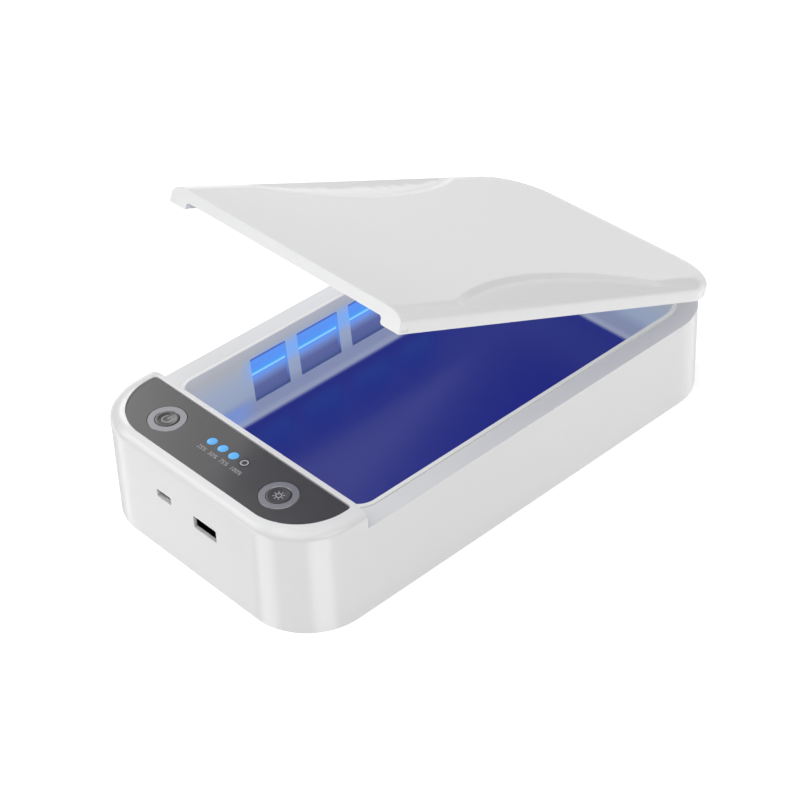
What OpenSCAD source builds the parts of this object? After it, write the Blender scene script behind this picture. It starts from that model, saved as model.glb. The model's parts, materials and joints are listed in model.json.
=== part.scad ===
/* [Body] */
// Length of the body, front to back
body_l = 223; // [200:1:240]
// Width of the body at the ledge
body_w = 120; // [112:1:130]
// Height of the control deck and of the shut lid
body_h = 45.3; // [44:0.1:50]
// Height of the ledge that the lid shuts on
ledge_h = 37.6; // [36:0.1:38]
// Corner radius of the body in plan
corner_r = 25.3; // [22:0.1:30]
// Thickness of the outer walls
wall = 2.4; // [2:0.1:3]
// Thickness of the ledge
ledge_t = 2.2; // [1.6:0.1:3]
// How far each side leans out from the ledge down to the underside
side_flare = 0.5; // [0:0.1:1.5]
// How far in the rounded top edge reaches
edge_reach = 7.4; // [5:0.1:9]
// How far down the rounded top edge reaches
edge_drop = 3.8; // [2.5:0.1:4.5]
// Break on the bottom edge
bottom_break = 0.8; // [0.3:0.1:1.5]
// Depth of the control deck, front to back
deck_l = 32.3; // [31:0.1:36]
// Thickness of the deck floor under the panel
deck_floor_t = 2; // [1.5:0.1:3]

/* [Control panel] */
// Inset of the panel's ends from the sides
panel_side_inset = 5.9; // [5:0.1:9]
// Inset of the panel's front edge
panel_front_inset = 4.8; // [4:0.1:8]
// Strip of deck behind the panel
panel_back_strip = 2.3; // [1.8:0.1:4]
// Radius of the panel's front corners
panel_corner_r = 21.9; // [18:0.1:24]
// Radius of the panel's back corners
panel_back_r = 1.5; // [1:0.1:4]
// Thickness of the panel
panel_t = 1.8; // [1.2:0.1:3]
// How far the panel lies below the deck's top
panel_sink = 0.6; // [0.3:0.1:1]

/* [Buttons and lights] */
// Buttons' distance from the sides
button_from_side = 29; // [26:0.5:33]
// Buttons' distance from the front
button_from_front = 17.1; // [15:0.1:19]
// Outer radius of a button's ring
ring_r = 7.4; // [6.5:0.1:8]
// Inner radius of a button's ring
ring_bore_r = 5; // [4:0.1:5.5]
// How far a button travels
button_travel = 0.5; // [0.3:0.1:0.8]
// Width of a push switch
switch_w = 6; // [5:0.5:7]
// Spacing of the status lights
light_pitch = 5.87; // [5:0.01:7]
// Status lights' distance from the front
light_from_front = 20.2; // [18:0.1:22]
// Radius of a status light
light_r = 1.85; // [1.2:0.05:2.2]

/* [Ports and boards] */
// Place of the output socket across the front
output_x = 9; // [4:0.5:14]
// Place of the charging socket across the front
charge_x = -14; // [-22:0.5:-9]
// Height of the main board's underside
board_h = 29.2; // [28:0.1:30]
// Thickness of the boards
board_t = 1.6; // [1.2:0.1:2]
// Width of the main board
board_w = 86; // [80:1:88]
// Depth of the main board, front to back
board_l = 23; // [20:0.5:24]
// Height of the lamp driver board's underside
driver_h = 9; // [7:0.5:11]

/* [Tub] */
// Width of the ledge outside the tub's lip
ledge_w = 8; // [7.6:0.1:9]
// Wall of the tub, which is also the width of its lip
tub_wall = 1.6; // [1.2:0.1:2.2]
// How far the tub's lip stands above the ledge
lip_proud = 0.4; // [0.2:0.1:0.6]
// Lean of the tub's walls, in degrees
tub_lean = 5; // [2:0.5:6]
// Height of the tub's floor
tub_floor_h = 6; // [5:0.1:8]
// Gap between the deck's back face and the tub's lip
tub_front_gap = 1.9; // [1:0.1:3]
// Radius of the tub's front corners, outside the lip
tub_front_r = 9.5; // [8:0.1:14]
// Radius where the tub's walls meet its floor
tub_foot_r = 3; // [1:0.5:4]
// Width of the two middle windows on each side
window_mid_w = 21.2; // [16:0.1:22]
// Width of the two end windows on each side
window_end_w = 18; // [14:0.1:20]
// Space between the windows
window_gap = 6; // [4:0.1:8]
// Middle of the row of windows
window_y = 8; // [4:0.5:12]
// Height of the windows' lower edge
window_low = 13.4; // [12:0.1:16]
// Height of the windows' upper edge
window_high = 32.6; // [30:0.1:33]

/* [Lamps] */
// Radius of a lamp's tube
lamp_r = 2.5; // [2:0.1:2.6]
// Wall of a lamp's tube
lamp_wall = 0.6; // [0.4:0.1:0.8]
// Length of a lamp's tube
lamp_l = 116; // [110:1:122]
// Height of the lamps' axes
lamp_h = 24; // [22:0.1:26]
// Length of the rubber boot on each end of a lamp
boot_l = 8; // [7:0.5:10]
// Thickness of a reflector
reflector_t = 0.4; // [0.3:0.1:0.6]
// Radius of a lamp's lead
lead_r = 0.6; // [0.5:0.1:0.8]

/* [Lid] */
// How far the lid stands open at rest, in degrees
lid_rest = 22.6; // [0:0.1:70]
// Gap around the shut lid
lid_gap = 0.3; // [0.3:0.05:0.5]
// Thickness of the lid's roof
lid_roof = 2.3; // [1.8:0.1:2.5]
// Thickness of the lid's skirt
skirt_t = 2.2; // [1.8:0.1:3]
// Height of the band across the lid's front
lid_band = 4.5; // [4:0.1:5]
// Width of the lug at each end of the band, and of the lid's rim
lug_w = 9.1; // [8:0.1:11]
// Radius of the arc that bounds each scoop in the lid
scoop_r = 117; // [100:1:140]
// How far each scoop reaches in from the side
scoop_reach = 21.6; // [15:0.1:25]
// Middle of the scoops, front to back
scoop_y = 10; // [0:1:20]
// Depth of a scoop just inside its arc
scoop_step = 0.7; // [0.4:0.05:0.8]
// Depth of a scoop at the side
scoop_depth = 1.3; // [1:0.05:1.4]

/* [Hinge] */
// Hinge axis' distance from the rear face
hinge_inset = 0.8; // [0.5:0.1:1]
// Height of the hinge axis
hinge_h = 31.2; // [30:0.1:31.5]
// Radius of the hinge knuckles
knuckle_r = 3.2; // [3:0.1:3.5]
// Middle of each hinge, from the body's middle
hinge_spread = 21; // [18:0.5:21]
// Length of each hinge
hinge_l = 24; // [20:1:25]
// Length of each of the body's knuckles
knuckle_l = 6; // [5:0.5:7]
// Radius of a hinge pin
pin_r = 1.25; // [1:0.05:1.5]
// Outer radius of a hinge sleeve
sleeve_r = 2.2; // [1.9:0.05:2.4]
// Thickness of the arm from the lid to its knuckle
arm_t = 3; // [2.5:0.1:3.4]

/* [Fasteners and small parts] */
// Radius of the screws
screw_r = 1; // [0.9:0.05:1.2]
// Radius of a screw's head
head_r = 1.9; // [1.7:0.1:2.2]
// Height of a screw's head
head_t = 1.2; // [1:0.1:1.4]
// Length of a cover screw below its head
cover_screw_l = 8; // [6:0.5:10]
// Length of a board screw below its head
board_screw_l = 5; // [4:0.5:6]
// Radius of the posts that take screws
post_r = 2.4; // [2.2:0.1:2.6]
// Radius of a foot pad
pad_r = 6; // [5:0.5:8]
// How deep a foot pad is let into the cover
pad_let_in = 0.6; // [0.4:0.1:0.8]
// Radius of a magnet
magnet_r = 2; // [1.5:0.1:2.2]
// Thickness of a magnet
magnet_t = 1.8; // [1:0.1:2]

/* [Hidden] */
$fn = 96;

fit = 0.1;          // clearance round pieces that are let into another
cut = 1;            // how far a cutter runs past what it cuts
edge_steps = 8;     // flats that make up the rounded top edge
shell_white = [0.93, 0.93, 0.94];
liner_white = [0.86, 0.88, 0.92];
steel = [0.72, 0.72, 0.74];
board_green = [0.1, 0.36, 0.2];
dark = [0.12, 0.12, 0.13];

front_y = -body_l / 2;
rear_y = body_l / 2;
side_x = body_w / 2;
deck_y = front_y + deck_l;
under_ledge = ledge_h - ledge_t;

panel_top = body_h - panel_sink;
panel_h = panel_top - panel_t;
under_deck = panel_h - deck_floor_t;
panel_w = body_w - 2 * panel_side_inset;
panel_y0 = front_y + panel_front_inset;
panel_y1 = deck_y - panel_back_strip;
button_spread = side_x - button_from_side;
button_y = front_y + button_from_front;
light_y = front_y + light_from_front;
proud = 0.05;       // how far rings, caps and lights stand above the panel

cap_play = 0.15;    // gap between a cap and its ring
cap_flange_w = 0.7;
cap_r = ring_bore_r - cap_play;
cap_flange_r = ring_bore_r + cap_flange_w;
cap_flange_t = 0.8;
flange_gap = 0.3;   // between a cap's flange and the deck above it
cap_hole_fit = 0.05;
cap_stem_r = 2.2;
switch_h = 3.5;
plunger_r = 1.7;
plunger_out = 1.3;  // how far a plunger stands out of its switch
plunger_in = 0.8;
board_top = board_h + board_t;
switch_top = board_top + switch_h;
cap_low = switch_top + plunger_out;
light_count = 4;
light_rim = 0.55;   // how far a light stands out over its stem
light_stem_r = light_r - light_rim;
chip_w = 1.6;
chip_h = 0.8;
chip_gap = 0.2;

board_y1 = deck_y - panel_back_strip - deck_floor_t;
board_y0 = board_y1 - board_l;
board_post_x = 38;
board_post_in = 3.5;
board_posts = [for (y = [board_y0 + board_post_in, board_y1 - board_post_in]) for (x = [-board_post_x, board_post_x]) [x, y]];
sensor_r = 1.1;
sensor_l = 9;
sensor_x = 24;

output_w = 13.1;    // outer size of the output socket's steel shell
output_t = 5.7;
output_l = 13.5;
charge_w = 7.6;     // outer size of the charging socket's steel shell
charge_t = 2.8;
charge_l = 5.6;
socket_wall = 0.3;
port_wall = 1.4;    // the front wall is thinned to this round the sockets
socket_y = front_y + port_wall + fit;
output_z = board_h - output_t / 2;
charge_z = board_h - charge_t / 2;
output_cut = [12.5, 5.3];
charge_cut = [8, 3.3];
tongue_w = 11.1;
tongue_t = 1.9;
tongue_in = 1.8;    // how far a socket's tongue starts behind its mouth
tongue_gap = 0.6;   // between the tongue and the shell above it
moulding_l = 2.5;   // length of the moulding that closes the back of the output socket

driver_w = 80;
driver_l = 21;
driver_from_front = 6.5;
driver_y0 = front_y + driver_from_front;
driver_y1 = driver_y0 + driver_l;
driver_top = driver_h + board_t;
driver_post_x = 35;
driver_post_in = 3;
driver_posts = [for (y = [driver_y0 + driver_post_in, driver_y1 - driver_post_in]) for (x = [-driver_post_x, driver_post_x]) [x, y]];
transformer = [19, 14, 10];
transformer_x = -8;
plug_size = [5, 7, 5];
plug_in = 9;        // the plugs' distance from the board's ends
plug_x = driver_w / 2 - plug_in;
plug_y = (driver_y0 + driver_y1) / 2;

lip_w = body_w - 2 * ledge_w;
lip_h = ledge_h + lip_proud;
tub_y0 = deck_y + tub_front_gap;
tub_y1 = rear_y - ledge_w;
tub_rear_r = corner_r - ledge_w;
tub_under = tub_floor_h - tub_wall;
flange_w = 3;
flange_t = 1.5;
window_ws = [window_end_w, window_mid_w, window_mid_w, window_end_w];
window_run = 2 * (window_end_w + window_mid_w) + 3 * window_gap;

cover_under = 0.8;  // the cover lies this far above the rim that the body rests on
cover_t = 2;
cover_top = cover_under + cover_t;
counterbore = 1;
screw_room = 0.2;   // how far a board's hole clears its screw
rib_x = 25;
rib_in = 20;        // the ribs start this far inside the tub's ends
head_gap = 0.2;
rib_t = 2;
web_t = 1.2;
post_from_side = 10;
post_from_front = 18.5;
post_gap = 0.2;     // between a rear post and the corner of the tub
post_front = [side_x - post_from_side, front_y + post_from_front];
post_reach = tub_rear_r + post_gap + post_r;
post_rear = [side_x - corner_r + post_reach / sqrt(2), rear_y - corner_r + post_reach / sqrt(2)];
pad_from_side = 26;
pad_from_end = 15.5;
pad_spots = [side_x - pad_from_side, rear_y - pad_from_end];
pad_t = cover_under + pad_let_in;

reflector_x = side_x - wall - fit;
reflector_past = 3; // how far a reflector runs past the row of windows
reflector_fall = 2; // how far its back reaches below the windows
reflector_lip = 1.5;
lamp_gap = 0.2;     // between a lamp and its reflector
lamp_x = reflector_x - reflector_t - lamp_gap - lamp_r;
lamp_y0 = window_y - lamp_l / 2;
lamp_y1 = window_y + lamp_l / 2;
boot_over = 4;      // how much of the tube a boot takes
boot_fit = 0.03;
boot_wall = 1.5;
boot_bore_r = lamp_r + boot_fit;
boot_h = 2 * (lamp_r + boot_wall);

lid_low = ledge_h + lid_gap;
lid_y0 = deck_y + lid_gap;
lid_front_t = 2;
lid_hollow_h = body_h - lid_roof;
liner_fit = 0.15;
liner_t = 1.5;
liner_gap = 0.4;    // between the shut lid's inner rim and the tub's lip
liner_draft = 0.2;
liner_low = lip_h + liner_gap;
liner_pocket_h = lid_hollow_h - liner_t - liner_draft;
band_low = body_h - lid_band;
notch = [3.6, 1.1, 0.6];
notch_in = 2.9;
notch_up = 1.2;
notch_y = lid_y0 + notch_in;
notch_z = lid_low + notch_up;
scoop_x = side_x - scoop_reach + scoop_r;
scoop_run = 4;      // how wide the steep first part of a scoop is
scoop_past = 3;     // how far a scoop's cutter runs past the side
magnet_in = 5;
magnet_back = 5.5;
magnet_up = 1;
magnet_room = 1;    // how far the tub's flange clears a magnet
magnet_x = side_x - magnet_in;
magnet_y = lid_y0 + magnet_back;

hinge_y = rear_y - hinge_inset;
hinge_gap = 0.3;
hinge_play = 0.4;   // how far the notch in the body clears the lid's knuckles
lid_knuckle_l = hinge_l - 2 * (knuckle_l + hinge_gap);
pin_fit = 0.02;
sleeve_play = 0.04;

// Inset and height of each point on the rounded top edge
edge_profile = [
    for (i = [0:edge_steps])
        let (a = 90 * i / edge_steps)
        [neat(edge_reach * (1 - cos(a))), body_h - edge_drop * (1 - sin(a))]
];
body_profile = [
    [bottom_break - side_flare, 0],
    [neat(bottom_break * side_flare / ledge_h - side_flare), bottom_break],
    [0, ledge_h]
];

// Insets are rounded to a thousandth, so that corners and straight stretches meet exactly
function neat(v) = round(1000 * v) / 1000;

// How far the tub's wall has leaned in at a height
function lean_at(z) = (lip_h - z) * tan(tub_lean);

// Insets and heights up the tub's wall, from a floor to the lip or past it
function tub_profile(floor_z, top_z) = concat(
    [
        for (i = [0:3])
            let (a = 30 * i)
            let (z = floor_z + tub_foot_r * (1 - cos(a)))
            [neat(lean_at(z) + tub_foot_r * (1 - sin(a))), z]
    ],
    [[neat(lean_at(top_z)), top_z]]
);

// A block with rounded corners in plan, whose side follows a list of insets and heights
module slab(w, y0, y1, front_r, rear_r, profile) {
    right = [for (p = profile) [w / 2 - p[0], p[1]]];
    left = [for (i = [len(profile) - 1:-1:0]) [profile[i][0] - w / 2, profile[i][1]]];
    translate([0, y1 - rear_r, 0])
        rotate([90, 0, 0])
            linear_extrude(height = y1 - rear_r - y0 - front_r)
                polygon(concat(right, left));
    slab_end(w, front_r, profile, y0 + front_r, -1);
    slab_end(w, rear_r, profile, y1 - rear_r, 1);
}

// One end of a slab: the strip between its corners, and its two corners
module slab_end(w, r, profile, y, way) {
    high = profile[len(profile) - 1][1];
    low = profile[0][1];
    section = concat([[0, low]], [for (p = profile) [r - p[0], p[1]]], [[0, high]]);
    translate([0, y, 0])
        scale([1, way, 1]) {
            translate([r - w / 2, 0, 0])
                rotate([90, 0, 90])
                    linear_extrude(height = w - 2 * r)
                        polygon(section);
            for (side = [-1, 1])
                scale([side, 1, 1])
                    translate([w / 2 - r, 0, 0])
                        rotate_extrude(angle = 90)
                            polygon(section);
        }
}

// The body's outline moved in by an inset, between two heights
module body_block(inset, low, high) {
    slab(
        body_w - 2 * inset, front_y + inset, rear_y - inset,
        corner_r - inset, corner_r - inset, [[0, low], [0, high]]
    );
}

// Everything in front of a plane
module ahead_of(y) {
    translate([-body_w, y - 2 * body_l, -body_h])
        cube([2 * body_w, 2 * body_l, 3 * body_h]);
}

// The panel's outline grown all round, between two heights
module panel_block(grow, low, high) {
    slab(
        panel_w + 2 * grow, panel_y0 - grow, panel_y1 + grow,
        panel_corner_r + grow, panel_back_r + grow, [[0, low], [0, high]]
    );
}

// The outline of the tub's lip grown all round, between two heights
module lip_block(grow, low, high) {
    slab(
        lip_w + 2 * grow, tub_y0 - grow, tub_y1 + grow,
        tub_front_r + grow, tub_rear_r + grow, [[0, low], [0, high]]
    );
}

// A box that is centred across and in depth on a point of its underside
module box_on(x, y, z, size) {
    translate([x - size[0] / 2, y - size[1] / 2, z])
        cube(size);
}

module at_cover_screws() {
    for (side = [-1, 1])
        for (p = [post_front, post_rear])
            translate([side * p[0], p[1], 0])
                children();
}

module at_each(points) {
    for (p = points)
        translate([p[0], p[1], 0])
            children();
}

module at_buttons() {
    for (side = [-1, 1])
        translate([side * button_spread, button_y, 0])
            children();
}

function light_x(i) = (i - (light_count + 1) / 2) * light_pitch;

// A rod along X round the hinge's axis
module hinge_rod(r, x0, x1) {
    translate([x0, hinge_y, hinge_h])
        rotate([0, 90, 0])
            cylinder(r = r, h = x1 - x0);
}

// A rod along Y
module rod_y(r, x, y0, y1, z) {
    translate([x, y1, z])
        rotate([90, 0, 0])
            cylinder(r = r, h = y1 - y0);
}

// Turns the shut lid to where it rests
module lid_pose() {
    translate([0, hinge_y, hinge_h])
        rotate([-lid_rest, 0, 0])
            translate([0, -hinge_y, -hinge_h])
                children();
}

// A cover screw or a board screw that points up, with its head's underside at z
module screw(z, length) {
    translate([0, 0, z - head_t])
        cylinder(r = head_r, h = head_t);
    translate([0, 0, z])
        cylinder(r = screw_r, h = length);
}

module base_shell() {
    color(shell_white)
        difference() {
            union() {
                shell_walls();
                base_posts();
                base_knuckles();
            }
            hinge_notches();
            port_cuts();
            at_cover_screws()
                translate([0, 0, cover_top - cut])
                    cylinder(r = screw_r + pin_fit, h = cut + cover_screw_l);
            at_each(board_posts)
                translate([0, 0, board_top - cut])
                    cylinder(r = screw_r + pin_fit, h = cut + board_screw_l);
            for (side = [-1, 1])
                hinge_rod(
                    pin_r + pin_fit,
                    side * hinge_spread - hinge_l / 2 - cut, side * hinge_spread + hinge_l / 2 + cut
                );
        }
}

module shell_walls() {
    difference() {
        union() {
            slab(body_w, front_y, rear_y, corner_r, corner_r, body_profile);
            intersection() {
                slab(body_w, front_y, rear_y, corner_r, corner_r, concat([[0, under_ledge]], edge_profile));
                ahead_of(deck_y);
            }
        }
        body_block(wall, -cut, under_ledge);
        intersection() {
            body_block(wall, cut, under_deck);
            ahead_of(deck_y - deck_floor_t);
        }
        lip_block(fit, under_ledge - cut, body_h + cut);
        panel_block(fit, panel_h, body_h + cut);
        at_buttons()
            translate([0, 0, under_deck - cut])
                cylinder(r = ring_bore_r + cap_hole_fit, h = deck_floor_t + 2 * cut);
        for (i = [1:light_count])
            translate([light_x(i), light_y, under_deck - cut])
                cylinder(r = light_stem_r + fit, h = deck_floor_t + 2 * cut);
    }
}

// Posts for the cover's screws and for the main board
module base_posts() {
    for (side = [-1, 1]) {
        translate([side * post_front[0], post_front[1], cover_top])
            cylinder(r = post_r, h = under_deck + cut - cover_top);
        translate([side * post_rear[0], post_rear[1], cover_top]) {
            cylinder(r = post_r, h = under_ledge + cut - cover_top);
            rotate([0, 0, 90 - side * 45])
                translate([0, -web_t / 2, 0])
                    cube([corner_r - wall / 2 - post_reach, web_t, under_ledge + cut - cover_top]);
        }
    }
    at_each(board_posts)
        translate([0, 0, board_top])
            cylinder(r = post_r, h = under_deck + cut - board_top);
}

module base_knuckles() {
    for (side = [-1, 1])
        for (end = [-1, 1]) {
            middle = side * hinge_spread + end * (hinge_l - knuckle_l) / 2;
            hinge_rod(knuckle_r, middle - knuckle_l / 2, middle + knuckle_l / 2);
        }
}

// The openings in the rear wall that the lid's knuckles turn in
module hinge_notches() {
    reach = knuckle_r + hinge_play;
    wide = lid_knuckle_l + 2 * hinge_gap;
    for (side = [-1, 1]) {
        translate([side * hinge_spread - wide / 2, hinge_y - reach, hinge_h])
            cube([wide, 2 * reach, ledge_h - hinge_h + cut]);
        hinge_rod(reach, side * hinge_spread - wide / 2, side * hinge_spread + wide / 2);
    }
}

// The mouths of both sockets, and the pockets inside the wall that they sit in
module port_cuts() {
    port_cut(output_x, output_z, output_cut, [output_w, output_t]);
    port_cut(charge_x, charge_z, charge_cut, [charge_w, charge_t]);
}

module port_cut(x, z, mouth, socket) {
    translate([x - mouth[0] / 2, front_y - side_flare - cut, z - mouth[1] / 2])
        cube([mouth[0], wall + side_flare + 2 * cut, mouth[1]]);
    translate([x - socket[0] / 2 - fit, front_y + port_wall, z - socket[1] / 2 - fit])
        cube([socket[0] + 2 * fit, wall, socket[1] + 2 * fit]);
}

module bottom_cover() {
    color(shell_white)
        difference() {
            union() {
                body_block(wall + fit, cover_under, cover_top);
                at_each(driver_posts)
                    translate([0, 0, cover_top - cut])
                        cylinder(r = post_r, h = driver_h - cover_top + cut);
                for (side = [-1, 1])
                    translate([side * rib_x - rib_t / 2, tub_y0 + rib_in, cover_top - cut])
                        cube([rib_t, tub_y1 - tub_y0 - 2 * rib_in, tub_under - cover_top + cut]);
            }
            at_cover_screws() {
                translate([0, 0, cover_under - cut])
                    cylinder(r = screw_r + head_gap, h = cover_t + 2 * cut);
                translate([0, 0, cover_under - cut])
                    cylinder(r = head_r + head_gap, h = counterbore + cut);
            }
            at_each(driver_posts)
                translate([0, 0, driver_h - board_screw_l])
                    cylinder(r = screw_r + pin_fit, h = board_screw_l + cut);
            for (x = [-1, 1])
                for (y = [-1, 1])
                    translate([x * pad_spots[0], y * pad_spots[1], cover_under - cut])
                        cylinder(r = pad_r + fit, h = pad_let_in + cut);
        }
}

module foot_pad(x, y) {
    color(dark)
        translate([x * pad_spots[0], y * pad_spots[1], 0])
            cylinder(r = pad_r, h = pad_t);
}

module cover_screws() {
    color(steel)
        at_cover_screws()
            screw(cover_under + counterbore, cover_screw_l);
}

module tub_liner() {
    color(liner_white)
        difference() {
            union() {
                slab(lip_w, tub_y0, tub_y1, tub_front_r, tub_rear_r, tub_profile(tub_under, lip_h));
                lip_block(flange_w, under_ledge - flange_t, under_ledge);
            }
            slab(
                lip_w - 2 * tub_wall, tub_y0 + tub_wall, tub_y1 - tub_wall,
                tub_front_r - tub_wall, tub_rear_r - tub_wall, tub_profile(tub_floor_h, lip_h + cut)
            );
            tub_windows();
            for (side = [-1, 1]) {
                translate([side * post_rear[0], post_rear[1], cover_top])
                    cylinder(r = post_r + 3 * fit, h = ledge_h);
                translate([side * magnet_x, magnet_y, under_ledge - 2 * flange_t])
                    cylinder(r = magnet_r + magnet_room, h = 3 * flange_t);
            }
        }
}

// Where each window starts: the row's start, then past each window before it
function window_start(i) =
    i == 0 ? window_y - window_run / 2 : window_start(i - 1) + window_ws[i - 1] + window_gap;

module tub_windows() {
    for (side = [-1, 1])
        for (i = [0:len(window_ws) - 1])
            translate([side * lip_w / 2 - tub_wall * 4, window_start(i), window_low])
                cube([tub_wall * 8, window_ws[i], window_high - window_low]);
}

module control_panel() {
    color([0.27, 0.25, 0.27])
        difference() {
            panel_block(0, panel_h, panel_top);
            at_buttons()
                translate([0, 0, panel_h - cut])
                    cylinder(r = ring_r + fit, h = panel_t + 2 * cut);
            for (i = [1:light_count])
                translate([light_x(i), light_y, panel_h - cut])
                    cylinder(r = light_r + fit, h = panel_t + 2 * cut);
        }
}

module button_ring(side) {
    color([0.62, 0.62, 0.64])
        translate([side * button_spread, button_y, panel_h])
            difference() {
                cylinder(r = ring_r, h = panel_t + proud);
                translate([0, 0, -cut])
                    cylinder(r = ring_bore_r, h = panel_t + 2 * cut);
            }
}

// The cap goes in from below, and its flange keeps it in the deck
module button_cap(side) {
    flange_low = under_deck - flange_gap - cap_flange_t;
    color([0.3, 0.28, 0.3])
        translate([side * button_spread, button_y, 0]) {
            translate([0, 0, flange_low])
                cylinder(r = cap_r, h = panel_top + proud - flange_low);
            translate([0, 0, flange_low])
                cylinder(r = cap_flange_r, h = cap_flange_t);
            translate([0, 0, cap_low])
                cylinder(r = cap_stem_r, h = flange_low - cap_low + cap_flange_t / 2);
        }
}

module button_switch(side) {
    well = plunger_in + button_travel + fit;
    color(dark)
        translate([side * button_spread, button_y, 0])
            difference() {
                box_on(0, 0, board_top, [switch_w, switch_w, switch_h]);
                translate([0, 0, switch_top - well])
                    cylinder(r = plunger_r + fit, h = well + cut);
            }
}

// The part of the switch that the cap's stem stands on and pushes down
module switch_plunger(side) {
    color([0.85, 0.85, 0.85])
        translate([side * button_spread, button_y, switch_top - plunger_in])
            cylinder(r = plunger_r, h = plunger_in + plunger_out);
}

// A clear light guide from its chip up to the panel
module light_lens(i) {
    low = board_top + chip_h + chip_gap;
    color([0.55, 0.78, 1])
        translate([light_x(i), light_y, 0]) {
            translate([0, 0, low])
                cylinder(r = light_stem_r, h = panel_h - low + panel_t / 2);
            translate([0, 0, panel_h])
                cylinder(r = light_r, h = panel_t + proud);
        }
}

module status_chips() {
    color([0.9, 0.9, 0.8])
        for (i = [1:light_count])
            box_on(light_x(i), light_y, board_top, [chip_w, chip_w, chip_h]);
}

module main_board() {
    color(board_green)
        difference() {
            translate([-board_w / 2, board_y0, board_h])
                cube([board_w, board_l, board_t]);
            at_each(board_posts)
                translate([0, 0, board_h - cut])
                    cylinder(r = screw_r + screw_room, h = board_t + 2 * cut);
        }
}

module board_screws() {
    color(steel)
        at_each(board_posts)
            screw(board_h, board_screw_l);
}

// A glass reed switch that feels the lid's magnet
module lid_sensor() {
    color([0.5, 0.65, 0.55])
        translate([sensor_x, board_y1 - 2 * sensor_r, board_top + sensor_r])
            rotate([0, 90, 0])
                cylinder(r = sensor_r, h = sensor_l);
}

// A socket's steel shell, open at the front and at the back
module output_socket() {
    color(steel)
        translate([output_x, 0, output_z])
            difference() {
                socket_block(output_w, output_t, 0, output_l);
                socket_block(output_w - 2 * socket_wall, output_t - 2 * socket_wall, -cut, output_l + cut);
            }
}

module socket_block(w, h, y0, y1) {
    translate([-w / 2, socket_y + y0, -h / 2])
        cube([w, y1 - y0, h]);
}

// The moulding that closes the back of the socket and carries its contacts
module output_tongue() {
    back_w = output_w - 2 * (socket_wall + fit);
    back_t = output_t - 2 * (socket_wall + fit);
    color(dark)
        translate([output_x, 0, output_z]) {
            socket_block(back_w, back_t, output_l - moulding_l, output_l);
            translate([0, 0, output_t / 2 - socket_wall - tongue_gap - tongue_t / 2])
                socket_block(tongue_w, tongue_t, tongue_in, output_l - moulding_l / 2);
        }
}

// Outline of the charging socket, which narrows towards its lower side
module charge_outline(w, h) {
    polygon([
        [w / 2, h / 2], [-w / 2, h / 2], [-w / 2, -h / 6],
        [-w / 2 + h / 3, -h / 2], [w / 2 - h / 3, -h / 2], [w / 2, -h / 6]
    ]);
}

module charge_socket() {
    color(steel)
        translate([charge_x, socket_y + charge_l, charge_z])
            rotate([90, 0, 0])
                difference() {
                    linear_extrude(height = charge_l)
                        charge_outline(charge_w, charge_t);
                    translate([0, 0, -cut])
                        linear_extrude(height = charge_l + 2 * cut)
                            charge_outline(charge_w - 2 * socket_wall, charge_t - 2 * socket_wall);
                }
}

module charge_tongue() {
    inner_w = charge_w - 2 * (socket_wall + fit);
    inner_t = charge_t - 2 * (socket_wall + fit);
    color(dark)
        translate([charge_x, 0, charge_z]) {
            translate([0, socket_y + charge_l, 0])
                rotate([90, 0, 0])
                    linear_extrude(height = 1)
                        charge_outline(inner_w, inner_t);
            socket_block(charge_w / 2, 0.6, 1, charge_l - 0.5);
        }
}

module driver_board() {
    color(board_green)
        difference() {
            translate([-driver_w / 2, driver_y0, driver_h])
                cube([driver_w, driver_l, board_t]);
            at_each(driver_posts)
                translate([0, 0, driver_h - cut])
                    cylinder(r = screw_r + screw_room, h = board_t + 2 * cut);
        }
}

module driver_screws() {
    color(steel)
        at_each(driver_posts)
            translate([0, 0, driver_top])
                rotate([180, 0, 0])
                    screw(0, board_screw_l);
}

module driver_transformer() {
    color([0.85, 0.75, 0.3])
        box_on(transformer_x, plug_y, driver_top, transformer);
}

module driver_plug(side) {
    color([0.95, 0.95, 0.9])
        box_on(side * plug_x, plug_y, driver_top, plug_size);
}

module lamp_tube(side) {
    color([0.35, 0.6, 1])
        difference() {
            rod_y(lamp_r, side * lamp_x, lamp_y0, lamp_y1, lamp_h);
            rod_y(lamp_r - lamp_wall, side * lamp_x, lamp_y0 - cut, lamp_y1 + cut, lamp_h);
        }
}

// A rubber block between the tub's wall and the side wall, bored from one side for the lamp's end
module lamp_boot(side, end) {
    mouth = lamp_l / 2 - boot_over;
    low = lamp_h - boot_h / 2;
    high = lamp_h + boot_h / 2;
    color([0.8, 0.8, 0.82])
        translate([0, window_y, 0])
            scale([side, end, 1])
                difference() {
                    translate([0, mouth + boot_l, 0])
                        rotate([90, 0, 0])
                            linear_extrude(height = boot_l)
                                polygon([
                                    [lip_w / 2 - lean_at(low) + fit, low],
                                    [side_x - wall - fit, low],
                                    [side_x - wall - fit, high],
                                    [lip_w / 2 - lean_at(high) + fit, high]
                                ]);
                    rod_y(boot_bore_r, lamp_x, mouth - cut, mouth + boot_over + fit, lamp_h);
                }
}

// A bent sheet: a back behind the lamp, and a lower lip that slopes in to the tub
module reflector(side) {
    back = reflector_x;
    low_z = window_low - reflector_fall;
    lip_z = low_z - reflector_lip;
    lip_x = lip_w / 2 - lean_at(lip_z) + reflector_t;
    color([0.75, 0.77, 0.85])
        scale([side, 1, 1])
            translate([0, window_y + window_run / 2 + reflector_past, 0])
                rotate([90, 0, 0])
                    linear_extrude(height = window_run + 2 * reflector_past)
                        polygon([
                            [back, window_high], [back - reflector_t, window_high],
                            [back - reflector_t, low_z], [lip_x, lip_z],
                            [lip_x, lip_z - reflector_t], [back, low_z - reflector_t]
                        ]);
}

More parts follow.
